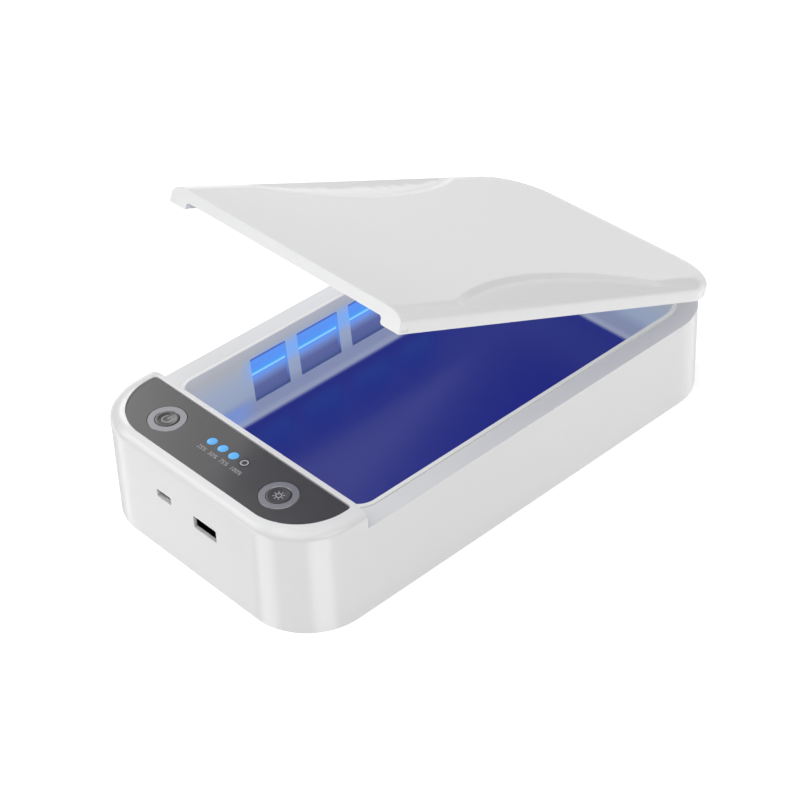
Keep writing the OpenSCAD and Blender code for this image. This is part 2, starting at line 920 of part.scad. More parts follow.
// A swept wire: 8 sides round a route of points
module wire(route, r) {
    sides = 8;
    n = len(route);
    rings = [
        for (i = [0:n - 1])
            let (ahead = unit(route[min(i + 1, n - 1)] - route[max(i - 1, 0)]))
            let (across = unit(cross(ahead, abs(ahead[2]) > 0.9 ? [1, 0, 0] : [0, 0, 1])))
            let (over = cross(across, ahead))
            for (k = [0:sides - 1])
                route[i] + r * (cos(360 * k / sides) * across + sin(360 * k / sides) * over)
    ];
    skin = [
        for (i = [0:n - 2])
            for (k = [0:sides - 1])
                let (a = i * sides + k)
                let (b = i * sides + (k + 1) % sides)
                each [[a, a + sides, b], [b, a + sides, b + sides]]
    ];
    first = [[for (k = [0:sides - 1]) k]];
    last = [[for (k = [sides - 1:-1:0]) (n - 1) * sides + k]];
    polyhedron(points = rings, faces = concat(first, skin, last), convexity = 4);
}

function unit(v) = v / norm(v);

// The front lead runs to the driver's plug, and the rear one comes back under the reflector
module lamp_leads(side) {
    low = 6;
    front_end = lamp_y0 + boot_over - boot_l;
    rear_end = lamp_y1 - boot_over + boot_l;
    outer = plug_x + plug_size[0] / 2;
    plug_z = driver_top + plug_size[2] / 2;
    lane = side_x - wall - 4;
    color([0.9, 0.9, 0.95])
        scale([side, 1, 1]) {
            wire([
                [lamp_x, front_end, lamp_h], [lamp_x, front_end - 4, lamp_h],
                [lamp_x, front_end - 9, lamp_h - 2], [lamp_x - 1, front_end - 15, lamp_h - 6],
                [lamp_x - 3, front_end - 22, lamp_h - 9], [lamp_x - 7, plug_y + 8, plug_z + 1.5],
                [outer + 7, plug_y + 3.5, plug_z + 1], [outer + 3, plug_y + 2, plug_z + 1],
                [outer, plug_y + 2, plug_z + 1]
            ], lead_r);
            wire([
                [lamp_x, rear_end, lamp_h], [lamp_x, rear_end + 3, lamp_h],
                [lamp_x, rear_end + 6, lamp_h - 2], [lamp_x, rear_end + 7, lamp_h - 6],
                [lane, rear_end + 6, low + 6], [lane, rear_end + 3, low + 2], [lane, rear_end - 2, low],
                [lane, front_end - 4, low], [lane - 2, front_end - 14, low + 1],
                [lane - 7, plug_y + 9, plug_z - 3], [outer + 7, plug_y + 0.5, plug_z - 1],
                [outer + 3, plug_y - 1, plug_z - 1], [outer, plug_y - 1, plug_z - 1]
            ], lead_r);
        }
}

// Holds the lid shut: it hangs under the ledge, below the lid's own magnet
module base_magnet(side) {
    color(steel)
        translate([side * magnet_x, magnet_y, under_ledge - magnet_t])
            cylinder(r = magnet_r, h = magnet_t);
}

module hinge_pin(side) {
    color(steel)
        hinge_rod(pin_r, side * hinge_spread - hinge_l / 2, side * hinge_spread + hinge_l / 2);
}

module hinge_sleeve(side) {
    half = lid_knuckle_l / 2;
    color([0.85, 0.85, 0.8])
        lid_pose()
            difference() {
                hinge_rod(sleeve_r, side * hinge_spread - half, side * hinge_spread + half);
                hinge_rod(
                    pin_r + sleeve_play,
                    side * hinge_spread - half - cut, side * hinge_spread + half + cut
                );
            }
}

module lid_shell() {
    color(shell_white)
        lid_pose()
            difference() {
                union() {
                    lid_walls();
                    lid_knuckles();
                }
                for (side = [-1, 1])
                    hinge_rod(
                        sleeve_r + pin_fit,
                        side * hinge_spread - hinge_l / 2, side * hinge_spread + hinge_l / 2
                    );
            }
}

module lid_walls() {
    difference() {
        slab(body_w, front_y, rear_y, corner_r, corner_r, concat([[0, lid_low]], edge_profile));
        ahead_of(lid_y0);
        difference() {
            body_block(skirt_t, lid_low - cut, lid_hollow_h);
            ahead_of(lid_y0 + lid_front_t);
        }
        lid_front_cut();
        lid_scoops();
        for (side = [-1, 1])
            translate([side * side_x - notch[2], notch_y - notch[0] / 2, notch_z - notch[1] / 2])
                cube([2 * notch[2], notch[0], notch[1]]);
    }
}

// Leaves the band across the front, and a lug at each of its ends
module lid_front_cut() {
    half = side_x - lug_w;
    break_w = 1.2;
    translate([0, lid_y0 + lid_front_t + cut, 0])
        rotate([90, 0, 0])
            linear_extrude(height = lid_front_t + 2 * cut)
                polygon([
                    [-half - break_w, lid_low - cut], [-half - break_w, lid_low],
                    [-half, lid_low + break_w], [-half, band_low],
                    [half, band_low], [half, lid_low + break_w],
                    [half + break_w, lid_low], [half + break_w, lid_low - cut]
                ]);
}

// A shallow dish at each side of the lid's roof: a steep rim, then a gentle fall to the side
module lid_scoops() {
    reach = scoop_reach + scoop_past;
    for (side = [-1, 1])
        translate([side * scoop_x, scoop_y, 0]) {
            translate([0, 0, body_h - scoop_step])
                cylinder(r1 = scoop_r - scoop_run, r2 = scoop_r, h = scoop_step, $fn = 360);
            translate([0, 0, body_h - scoop_depth])
                cylinder(r1 = scoop_r - reach, r2 = scoop_r - scoop_run, h = scoop_depth - scoop_step, $fn = 360);
            translate([0, 0, body_h - scoop_depth])
                cylinder(r = scoop_r - reach, h = scoop_depth + cut, $fn = 360);
            translate([0, 0, body_h])
                cylinder(r = scoop_r, h = cut, $fn = 360);
        }
}

module lid_knuckles() {
    half = lid_knuckle_l / 2;
    for (side = [-1, 1]) {
        hinge_rod(knuckle_r, side * hinge_spread - half, side * hinge_spread + half);
        translate([side * hinge_spread - half, hinge_y + hinge_inset - skirt_t, hinge_h])
            cube([lid_knuckle_l, arm_t, lid_low + skirt_t - hinge_h]);
    }
}

// The inner moulding: a plate that closes the lid, and a rim that comes down on the ledge
module lid_liner() {
    inset = skirt_t + liner_fit;
    front = lid_y0 + lid_front_t + liner_fit;
    color(liner_white)
        lid_pose()
            difference() {
                body_block(inset, liner_low, lid_hollow_h);
                ahead_of(front);
                slab(
                    body_w - 2 * lug_w, front - 2 * corner_r, rear_y - lug_w,
                    corner_r - lug_w, corner_r - lug_w, [[0, liner_low - cut], [0, liner_pocket_h]]
                );
                for (side = [-1, 1])
                    translate([side * magnet_x, magnet_y, liner_low + magnet_up])
                        cylinder(r = magnet_r + fit, h = body_h);
            }
}

module lid_magnet(side) {
    color(steel)
        lid_pose()
            translate([side * magnet_x, magnet_y, liner_low + magnet_up])
                cylinder(r = magnet_r, h = magnet_t);
}

base_shell();
bottom_cover();
tub_liner();
control_panel();
button_ring(-1);  // button_ring_left
button_ring(1);  // button_ring_right
button_cap(-1);  // button_cap_left
button_cap(1);  // button_cap_right
button_switch(-1);  // button_switch_left
button_switch(1);  // button_switch_right
switch_plunger(-1);  // switch_plunger_left
switch_plunger(1);  // switch_plunger_right
light_lens(1);  // light_lens_1
light_lens(2);  // light_lens_2
light_lens(3);  // light_lens_3
light_lens(4);  // light_lens_4
status_chips();
main_board();
lid_sensor();
output_socket();
output_tongue();
charge_socket();
charge_tongue();
driver_board();
driver_transformer();
driver_plug(-1);  // driver_plug_left
driver_plug(1);  // driver_plug_right
lamp_tube(-1);  // lamp_tube_left
lamp_tube(1);  // lamp_tube_right
reflector(-1);  // reflector_left
reflector(1);  // reflector_right
lamp_boot(-1, -1);  // lamp_boot_front_left
lamp_boot(1, -1);  // lamp_boot_front_right
lamp_boot(-1, 1);  // lamp_boot_rear_left
lamp_boot(1, 1);  // lamp_boot_rear_right
lamp_leads(-1);  // lamp_leads_left
lamp_leads(1);  // lamp_leads_right
foot_pad(-1, -1);  // foot_pad_front_left
foot_pad(1, -1);  // foot_pad_front_right
foot_pad(-1, 1);  // foot_pad_rear_left
foot_pad(1, 1);  // foot_pad_rear_right
cover_screws();
board_screws();
driver_screws();
base_magnet(-1);  // base_magnet_left
base_magnet(1);  // base_magnet_right
hinge_pin(-1);  // hinge_pin_left
hinge_pin(1);  // hinge_pin_right
lid_shell();
lid_liner();
lid_magnet(-1);  // lid_magnet_left
lid_magnet(1);  // lid_magnet_right
hinge_sleeve(-1);  // hinge_sleeve_left
hinge_sleeve(1);  // hinge_sleeve_right
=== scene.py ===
import json
from math import cos, pi, radians, sin, tan

import bmesh
import bpy
from mathutils import Matrix, Vector


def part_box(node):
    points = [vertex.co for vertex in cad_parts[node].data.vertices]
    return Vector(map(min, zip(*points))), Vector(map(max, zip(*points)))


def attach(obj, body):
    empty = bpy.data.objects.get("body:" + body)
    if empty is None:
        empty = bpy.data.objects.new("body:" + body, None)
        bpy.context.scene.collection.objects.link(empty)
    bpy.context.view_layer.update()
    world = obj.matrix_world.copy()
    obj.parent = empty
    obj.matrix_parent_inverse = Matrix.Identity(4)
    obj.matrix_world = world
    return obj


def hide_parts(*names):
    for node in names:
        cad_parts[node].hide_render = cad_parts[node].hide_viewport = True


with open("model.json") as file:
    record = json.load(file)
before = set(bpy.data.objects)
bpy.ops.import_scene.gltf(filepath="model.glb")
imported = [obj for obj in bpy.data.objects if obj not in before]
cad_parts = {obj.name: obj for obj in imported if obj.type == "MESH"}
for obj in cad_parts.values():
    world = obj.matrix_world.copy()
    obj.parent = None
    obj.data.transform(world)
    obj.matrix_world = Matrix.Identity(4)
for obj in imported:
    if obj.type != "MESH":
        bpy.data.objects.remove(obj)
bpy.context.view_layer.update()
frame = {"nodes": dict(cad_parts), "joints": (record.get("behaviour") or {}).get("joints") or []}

mm = 0.001               # pieces are modelled in millimetres and turned to metres when they are done
nodes = frame["nodes"]
hinge = next(j for j in frame["joints"] if j["name"] == "lid_hinge")
hingeAxis = Vector(hinge["axis"])
hingeAt = Vector(hinge["pos_m"]) / mm
restTurn = -radians(hinge["range_deg"][0])   # from shut to where the lid rests


def boxOf(node):
    low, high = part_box(node)
    return low / mm, high / mm


# Driving sizes of the casing. What the frame can tell is measured on its nodes
panelLow, panelHigh = boxOf("control_panel")
casing = {
    "width": 120, "length": 223, "corner": 25.3, "wall": 2.4, "flare": 0.5, "bottomRound": 0.8,
    "edgeReach": 7.4, "edgeDrop": 3.8, "deckEnd": -79.2, "ledge": 37.6, "ledgeThick": 2.2,
    "cornerSteps": 28, "edgeSteps": 12, "bottomSteps": 4, "softEdge": 0.25, "squareCorner": 0.5,
}
casing["top"] = boxOf("base_shell")[1].z
frontY, rearY = -casing["length"] / 2, casing["length"] / 2
sideX = casing["width"] / 2
tub = {
    "ledgeWidth": 8, "wall": 1.6, "proud": 0.4, "lean": radians(5), "floor": 6, "frontGap": 1.9,
    "frontCorner": 9.5, "foot": 3, "flange": 3, "flangeThick": 1.5, "fit": 0.1,
    "windowWidths": (18, 21.2, 21.2, 18), "windowGap": 6, "windowMiddle": 8, "windowLow": 13.4, "windowHigh": 32.6,
    "windowCorner": 0.4, "windowReach": 7, "softEdge": 0.3, "softAbove": 8,
}
tubPlan = {
    "width": casing["width"] - 2 * tub["ledgeWidth"],
    "front": casing["deckEnd"] + tub["frontGap"], "rear": rearY - tub["ledgeWidth"],
    "frontCorner": tub["frontCorner"], "rearCorner": casing["corner"] - tub["ledgeWidth"],
}
lipTop = casing["ledge"] + tub["proud"]


# Materials

def linear(code):
    parts = [int(code[i:i + 2], 16) / 255 for i in (1, 3, 5)]
    return [c / 12.92 if c <= 0.04045 else ((c + 0.055) / 1.055) ** 2.4 for c in parts] + [1.0]


def addNode(tree, kind, links=(), **settings):
    node = tree.nodes.new(kind)
    for key, value in settings.items():
        if key.startswith("in_"):
            name = key[3:]
            node.inputs[int(name) if name.isdigit() else name.replace("_", " ")].default_value = value
        else:
            setattr(node, key, value)
    for source, target in links:
        tree.links.new(source, node.inputs[target])
    return node


def newMaterial(name):
    material = bpy.data.materials.new(name)
    material.use_nodes = True
    tree = material.node_tree
    return material, tree, tree.nodes["Principled BSDF"]


def perMillimetre(size):
    # Object coordinates are in metres, so a pattern that repeats every `size` mm has this scale
    return 1000 / size


plastic = {"flow": 45, "unevenness": 0.15, "bump": 0.02, "ior": 1.54}      # mottle and bump in mm


def mouldedPlastic(name, colour, shade, roughness, grain, grainDepth, coat=0.0, coatBlur=0.08):
    # Injection-moulded plastic: a hardly seen mottle from the flow, and a fine surface that breaks up reflections
    material, tree, shader = newMaterial(name)
    place = addNode(tree, "ShaderNodeTexCoord").outputs["Object"]
    flow = addNode(tree, "ShaderNodeTexNoise", [(place, "Vector")], in_Scale=perMillimetre(plastic["flow"]),
                   in_Detail=3.0)
    mix = addNode(tree, "ShaderNodeMix", [(flow.outputs["Fac"], "Factor")], data_type="RGBA",
                  in_6=linear(colour), in_7=linear(shade))
    tree.links.new(mix.outputs[2], shader.inputs["Base Color"])
    fine = addNode(tree, "ShaderNodeTexNoise", [(place, "Vector")], in_Scale=perMillimetre(grain), in_Detail=4.0)
    spread = addNode(tree, "ShaderNodeMapRange", [(fine.outputs["Fac"], "Value")],
                     in_To_Min=roughness * (1 - plastic["unevenness"]),
                     in_To_Max=roughness * (1 + plastic["unevenness"]))
    tree.links.new(spread.outputs["Result"], shader.inputs["Roughness"])
    bump = addNode(tree, "ShaderNodeBump", [(fine.outputs["Fac"], "Height")],
                   in_Strength=grainDepth, in_Distance=plastic["bump"] * mm)
    tree.links.new(bump.outputs["Normal"], shader.inputs["Normal"])
    shader.inputs["IOR"].default_value = plastic["ior"]
    shader.inputs["Coat Weight"].default_value = coat
    shader.inputs["Coat Roughness"].default_value = coatBlur
    return material


haloFade = {"inside": 4, "outside": 7}       # mm over which a halo fades at the ends of its stretch


def glowing(name, *levels, roughness=0.3, halos=()):
    # A part that glows: a lamp, or a surface whose lamp light and shade are painted in as colour and glow. Each level
    # is a height in mm, the colour of the skin and that of the glow.
    # A halo, a painted patch of light, turns both to its own colours round a height, over a stretch of the length
    material, tree, shader = newMaterial(name)
    shader.inputs["Roughness"].default_value = roughness
    shader.inputs["Emission Strength"].default_value = 1.0
    if len(levels) == 1:
        shader.inputs["Base Color"].default_value = linear(levels[0][1])
        shader.inputs["Emission Color"].default_value = linear(levels[0][2])
        return material
    low, high = levels[0][0], levels[-1][0]
    place = addNode(tree, "ShaderNodeTexCoord").outputs["Object"]
    axes = addNode(tree, "ShaderNodeSeparateXYZ", [(place, "Vector")])
    rise = addNode(tree, "ShaderNodeMapRange", [(axes.outputs["Z"], "Value")],
                   in_From_Min=low * mm, in_From_Max=high * mm).outputs["Result"]
    found = []
    for which in (1, 2):
        ramp = addNode(tree, "ShaderNodeValToRGB", [(rise, "Fac")])
        stops = ramp.color_ramp.elements
        while len(stops) < len(levels):
            stops.new(0.5)
        for stop, level in zip(stops, levels):
            stop.position = (level[0] - low) / (high - low)
        for stop, level in zip(stops, levels):
            stop.color = linear(level[which])
        found.append(ramp.outputs["Color"])
    skin, glow = found
    for halo in halos:
        factor = None
        start, end = halo["half"] - haloFade["inside"], halo["half"] + haloFade["outside"]
        for axis, middle, inner, outer in (("Z", halo["height"], halo["inner"], halo["outer"]),
                                           ("Y", halo["middle"], start, end)):
            off = addNode(tree, "ShaderNodeMath", [(axes.outputs[axis], 0)], operation="SUBTRACT", in_1=middle * mm)
            off = addNode(tree, "ShaderNodeMath", [(off.outputs[0], 0)], operation="ABSOLUTE")
            near = addNode(tree, "ShaderNodeMapRange", [(off.outputs[0], "Value")], interpolation_type="SMOOTHSTEP",
                           in_From_Min=inner * mm, in_From_Max=outer * mm, in_To_Min=1.0, in_To_Max=0.0)
            if factor is None:
                factor = near.outputs["Result"]
            else:
                factor = addNode(tree, "ShaderNodeMath", [(factor, 0), (near.outputs["Result"], 1)],
                                 operation="MULTIPLY").outputs[0]
        glow = addNode(tree, "ShaderNodeMix", [(factor, "Factor"), (glow, 6)], data_type="RGBA",
                       in_7=linear(halo["glow"])).outputs[2]
        skin = addNode(tree, "ShaderNodeMix", [(factor, "Factor"), (skin, 6)], data_type="RGBA",
                       in_7=linear(halo["skin"])).outputs[2]
    tree.links.new(skin, shader.inputs["Base Color"])
    tree.links.new(glow, shader.inputs["Emission Color"])
    return material


def metal(name, colour, roughness, grain, stretch=(1, 1, 1)):
    material, tree, shader = newMaterial(name)
    place = addNode(tree, "ShaderNodeTexCoord").outputs["Object"]
    turned = addNode(tree, "ShaderNodeMapping", [(place, "Vector")], in_Scale=stretch)
    lines = addNode(tree, "ShaderNodeTexNoise", [(turned.outputs["Vector"], "Vector")],
                    in_Scale=perMillimetre(grain), in_Detail=3.0)
    spread = addNode(tree, "ShaderNodeMapRange", [(lines.outputs["Fac"], "Value")],
                     in_To_Min=roughness * 0.7, in_To_Max=roughness * 1.3)
    tree.links.new(spread.outputs["Result"], shader.inputs["Roughness"])
    shader.inputs["Base Color"].default_value = linear(colour)
    shader.inputs["Metallic"].default_value = 1.0
    return material


# ABS from a polished mould: pale, with soft-edged reflections under a faint clear gloss. The lid's copy is a shade
# lighter, which is painted light on the lid
glossWhiteAbs = mouldedPlastic("glossWhiteAbs", "#e1e1e1", "#dededf", 0.18, 0.9, 0.05, coat=0.3)
lidPaintedLighterAbs = mouldedPlastic("lidPaintedLighterAbs", "#e7e7e7", "#e4e4e5", 0.18, 0.9, 0.05, coat=0.3)
# ABS straight from the mould, cooler and a little duller inside the lid
linerAbs = mouldedPlastic("linerAbs", "#cfd1d6", "#caccd2", 0.25, 0.9, 0.06)
# ABS from an eroded mould: a fine texture without reflections
mattWhiteAbs = mouldedPlastic("mattWhiteAbs", "#cfcfd2", "#c8c8cc", 0.55, 0.5, 0.6)
# Acrylic tinted smoke grey and polished: nearly black, under a wide soft sheen
smokeAcrylic = mouldedPlastic("smokeAcrylic", "#1e181b", "#1b1518", 0.3, 1.5, 0.02, coat=1.0, coatBlur=0.2)
# Moulded rubber, dark and dull, and pale silicone with a slight bloom
mattRubber = mouldedPlastic("mattRubber", "#2c2c2e", "#262628", 0.8, 0.4, 0.8)
siliconeRubber = mouldedPlastic("siliconeRubber", "#c4c4c8", "#bcbcc0", 0.6, 0.6, 0.5)
# Moulded nylon and natural acetal: satin, black, grey or off-white
blackNylon = mouldedPlastic("blackNylon", "#161617", "#121213", 0.45, 0.5, 0.4)
greyNylon = mouldedPlastic("greyNylon", "#56565a", "#505054", 0.45, 0.5, 0.4)
paleNylon = mouldedPlastic("paleNylon", "#e6e2d4", "#dedac9", 0.5, 0.5, 0.4)
acetal = mouldedPlastic("acetal", "#e0ddd0", "#d8d5c8", 0.35, 0.5, 0.3)
# Glass fibre under green lacquer, with the weave just showing
glassFibreBoard = mouldedPlastic("glassFibreBoard", "#1d5a33", "#184d2b", 0.4, 0.4, 0.5)
# Polyester tape wound round a coil: amber, with low ridges
polyesterTape = mouldedPlastic("polyesterTape", "#c79a2c", "#b88c22", 0.35, 2.0, 0.4)
# Screen-printed ink: flat and grey on the dark panel
screenInk = mouldedPlastic("screenInk", "#a5a1a6", "#a09ca1", 0.5, 0.3, 0.2)
# Turned aluminium with a satin finish: an even grey with wide highlights
satinAluminium = metal("satinAluminium", "#9a999e", 0.35, 0.3)
# Drawn and plated steel sheet, its fine lines along the socket
stampedSteel = metal("stampedSteel", "#c9c9cc", 0.25, 0.4, (1, 0.2, 1))
# Zinc-plated steel, and brighter nickel on the magnets
screwSteel = metal("screwSteel", "#b4b4b8", 0.3, 0.3)
nickel = metal("nickel", "#cfcfd0", 0.2, 0.5)
# Glass of a lamp's tube, glowing blue: a white-blue streak along its lower side is a painted highlight, blue above
lampGlass = glowing(
    "lampGlass", (22.0, "#101838", "#8fd4ff"), (23.6, "#101838", "#86ccff"), (24.3, "#101838", "#4b9bf2"),
    (26.0, "#101838", "#5690ee"), (27.0, "#101838", "#5c94ec"), roughness=0.4,
)
# Bright aluminium sheet with the lamp's light and shade painted in: a dark colour under a glow that is blue beside
# the tube, violet in its painted shade below and just above
lampLitAluminium = glowing(
    "lampLitAluminium", (9.9, "#181c34", "#434b7c"), (11.4, "#1c2038", "#585f94"), (12.5, "#1c2038", "#5e6a9e"),
    (14.5, "#1c2038", "#6b80bc"), (16.5, "#1c2038", "#6a94e2"), (18.0, "#1c2038", "#5c94ee"),
    (24.8, "#1c2038", "#5c94ee"), (25.8, "#1c2038", "#4c509c"), (27.6, "#1c2038", "#5078cc"),
    (32.6, "#1c2038", "#5888dc"), roughness=0.45,
)
# ABS at the cut edges of the windows, with the blue of the lamp behind them painted in as colour and glow
lampLitCutAbs = glowing(
    "lampLitCutAbs", (13.4, "#1c2038", "#3e4672"), (18.0, "#1c2038", "#5872b4"), (24.0, "#1c2038", "#5a94e6"),
    (30.5, "#1c2038", "#5a90e2"), (32.2, "#1c2038", "#4a5296"), roughness=0.45,
)
# Pale ABS of the tub, with the lamps' light and shade painted in: its colour darkens to deep blue on the floor as
# painted shade, under a painted blue glow, grey with a blue tinge up the walls, and painted halos round the windows
# and low at the front
lampLitAbs = glowing(
    "lampLitAbs", (6.0, "#0f1740", "#0c126c"), (6.1, "#10184a", "#0d1470"), (6.8, "#86889c", "#6a7382"),
    (13.0, "#8a8ea4", "#687182"), (18.0, "#9ea0ac", "#748392"), (26.0, "#a6a8b0", "#788490"),
    (34.0, "#b2b0ae", "#808480"), (38.0, "#c8c8c8", "#7d7d7b"), roughness=0.3, halos=(
        # painted glow round the windows, then painted light low at the front of the tub and on its floor
        {"height": 28, "inner": 1, "outer": 7.5, "middle": 8, "half": 48.2, "glow": "#739dd4", "skin": "#6078a8"},
        {"height": 11.5, "inner": 2, "outer": 5.4, "middle": -57, "half": 12, "glow": "#5c74a2", "skin": "#8490b0"},
        {"height": 6, "inner": 0.3, "outer": 1.5, "middle": -66, "half": 8, "glow": "#1428a4", "skin": "#101c60"},
    ),
)
# Clear acrylic light guides: one bright light blue, one dark, as no light comes up through it
litAcrylic = glowing("litAcrylic", (0, "#36668c", "#4c97d0"), roughness=0.2)
unlitAcrylic = mouldedPlastic("unlitAcrylic", "#363138", "#322e34", 0.25, 1.0, 0.05)
# Yellow phosphor of the light chips, and the green-tinted glass of the reed switch
chipPhosphor = mouldedPlastic("chipPhosphor", "#e8dc8a", "#e0d47c", 0.4, 0.4, 0.2)
reedGlass = mouldedPlastic("reedGlass", "#86a892", "#7fa18b", 0.1, 1.0, 0.02)
print("materials made")


# Modelling helpers, all in millimetres

def sweptSlab(plan, profile, steps=None):
    # A section of (inset, height) pairs is walked round a plan with rounded corners, and capped at both ends
    steps = steps or casing["cornerSteps"]
    bm = bmesh.new()
    half, front, rear = plan["width"] / 2, plan["front"], plan["rear"]
    rf, rr = plan["frontCorner"], plan["rearCorner"]
    side = rear - front - rf - rr
    walk = [
        ((half - rr, rear - rr, 0), (2 * rr - 2 * half, 0, 0)),
        ((rr - half, rear - rr, 0), (0, -side, 0)),
        ((rf - half, front + rf, 0), (2 * half - 2 * rf, 0, 0)),
        ((half - rf, front + rf, 0), (0, side, 0)),
    ]
    verts = [bm.verts.new((half - inset, rear - rr, z)) for inset, z in profile]
    edges = [bm.edges.new(pair) for pair in zip(verts, verts[1:])]
    for centre, straight in walk:
        turned = bmesh.ops.spin(bm, geom=verts + edges, cent=centre, axis=(0, 0, 1), angle=pi / 2, steps=steps)
        edges = [g for g in turned["geom_last"] if isinstance(g, bmesh.types.BMEdge)]
        grown = bmesh.ops.extrude_edge_only(bm, edges=edges)["geom"]
        verts = [g for g in grown if isinstance(g, bmesh.types.BMVert)]
        edges = [g for g in grown if isinstance(g, bmesh.types.BMEdge)
                 and g.verts[0] in verts and g.verts[1] in verts]
        bmesh.ops.translate(bm, verts=verts, vec=straight)
    bmesh.ops.remove_doubles(bm, verts=bm.verts, dist=0.001)
    bmesh.ops.holes_fill(bm, edges=[e for e in bm.edges if e.is_boundary], sides=0)
    bmesh.ops.recalc_face_normals(bm, faces=bm.faces)
    return bm


def planOf(inset, front=None, rear=None, frontCorner=None):
    # The casing's outline moved in by an inset, or a shorter stretch of it
    return {
        "width": casing["width"] - 2 * inset,
        "front": frontY + inset if front is None else front, "rear": rearY - inset if rear is None else rear,
        "frontCorner": casing["corner"] - inset if frontCorner is None else frontCorner,
        "rearCorner": casing["corner"] - inset if rear is None else casing["squareCorner"],
    }


def grownPlan(plan, by):
    return {
        "width": plan["width"] + 2 * by, "front": plan["front"] - by, "rear": plan["rear"] + by,
        "frontCorner": plan["frontCorner"] + by, "rearCorner": plan["rearCorner"] + by,
    }


def block(low, high):
    bm = bmesh.new()
    low, high = Vector(low), Vector(high)
    place = Matrix.Translation((low + high) / 2) @ Matrix.Diagonal((high - low).to_4d())
    bmesh.ops.create_cube(bm, size=1, matrix=place)
    return bm


def rod(start, end, radius, endRadius=None, sides=64):
    bm = bmesh.new()
    start, end = Vector(start), Vector(end)
    along = (end - start).to_track_quat("Z", "Y").to_matrix().to_4x4()
    bmesh.ops.create_cone(
        bm, cap_ends=True, segments=sides, radius1=radius, radius2=radius if endRadius is None else endRadius,
        depth=(end - start).length, matrix=Matrix.Translation((start + end) / 2) @ along,
    )
    return bm


def lathe(section, centre, steps=64):
    # A closed section of (radius, height) pairs is spun round an upright axis
    bm = bmesh.new()
    centre = Vector(centre)
    verts = [bm.verts.new(centre + Vector((r, 0, z))) for r, z in section]
    edges = [bm.edges.new(pair) for pair in zip(verts, verts[1:])]
    bmesh.ops.spin(bm, geom=verts + edges, cent=centre, axis=(0, 0, 1), angle=2 * pi, steps=steps, use_merge=True)
    bmesh.ops.remove_doubles(bm, verts=bm.verts, dist=0.001)
    bmesh.ops.recalc_face_normals(bm, faces=bm.faces)
    return bm


def asObject(bm):
    mesh = bpy.data.meshes.new("work")
    bm.to_mesh(mesh)
    bm.free()
    work = bpy.data.objects.new("work", mesh)
    bpy.context.scene.collection.objects.link(work)
    return work


def carve(bm, tools, operation="DIFFERENCE"):
    # Each tool is cut away or joined on, and is used up
    work = asObject(bm)
    for tool in tools:
        cutter = asObject(tool)
        change = work.modifiers.new("carve", "BOOLEAN")
        change.operation, change.object, change.solver = operation, cutter, "EXACT"
        shaped = bpy.data.meshes.new_from_object(work.evaluated_get(bpy.context.evaluated_depsgraph_get()))
        work.modifiers.clear()
        work.data = shaped
        bpy.data.objects.remove(cutter)
    result = bmesh.new()
    result.from_mesh(work.data)
    bpy.data.objects.remove(work)
    bmesh.ops.remove_doubles(result, verts=result.verts, dist=0.002)
    return result


def softenEdges(bm, width, segments=2, angle=32, only=lambda middle: True, clamp=True):
    # Slivers that the cuts left are merged first, and what the bevel closes to nothing goes afterwards
    bmesh.ops.remove_doubles(bm, verts=bm.verts, dist=0.02)
    bmesh.ops.dissolve_limit(bm, angle_limit=radians(0.02), verts=bm.verts, edges=bm.edges)
    sharp = [e for e in bm.edges if len(e.link_faces) == 2 and e.calc_face_angle(0) > radians(angle)
             and only((e.verts[0].co + e.verts[1].co) / 2)]
    bmesh.ops.bevel(bm, geom=sharp, offset=width, offset_type="OFFSET", affect="EDGES", segments=segments,
                    profile=0.5, material=-1, clamp_overlap=clamp)
    bmesh.ops.remove_doubles(bm, verts=bm.verts, dist=0.001)
    bmesh.ops.dissolve_degenerate(bm, dist=0.001, edges=bm.edges)
    return bm


def openLid(bm):
    bmesh.ops.rotate(bm, verts=bm.verts, cent=hingeAt, matrix=Matrix.Rotation(restTurn, 3, hingeAxis))
    return bm


def finishPiece(name, bm, material, body, slot, *stands, sharp=40):
    bmesh.ops.scale(bm, verts=bm.verts, vec=(mm, mm, mm))
    mesh = bpy.data.meshes.new(name)
    bm.to_mesh(mesh)
    bm.free()
    mesh.shade_smooth()
    mesh.set_sharp_from_angle(angle=radians(sharp))
    mesh.materials.append(material)
    piece = bpy.data.objects.new(name, mesh)
    bpy.context.scene.collection.objects.link(piece)
    weighted = piece.modifiers.new("even shading", "WEIGHTED_NORMAL")
    weighted.keep_sharp = True
    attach(piece, body)
    if stands:
        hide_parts(*stands)
    return piece


# Outer casing of the base: one skin, with the ledge cut down behind the control deck

def edgeProfile(low):
    reach, drop, steps = casing["edgeReach"], casing["edgeDrop"], casing["edgeSteps"]
    turns = [pi / 2 * i / steps for i in range(steps + 1)]
    return low + [(reach * (1 - cos(a)), casing["top"] - drop * (1 - sin(a))) for a in turns]


def casingProfile():
    soft, flare = casing["bottomRound"], casing["flare"]
    turns = [pi / 2 * i / casing["bottomSteps"] for i in range(casing["bottomSteps"] + 1)]
    low = [(soft * (1 - sin(a)) - flare * (1 - soft * (1 - cos(a)) / casing["ledge"]), soft * (1 - cos(a)))
           for a in turns]
    return edgeProfile(low + [(0, casing["ledge"])])


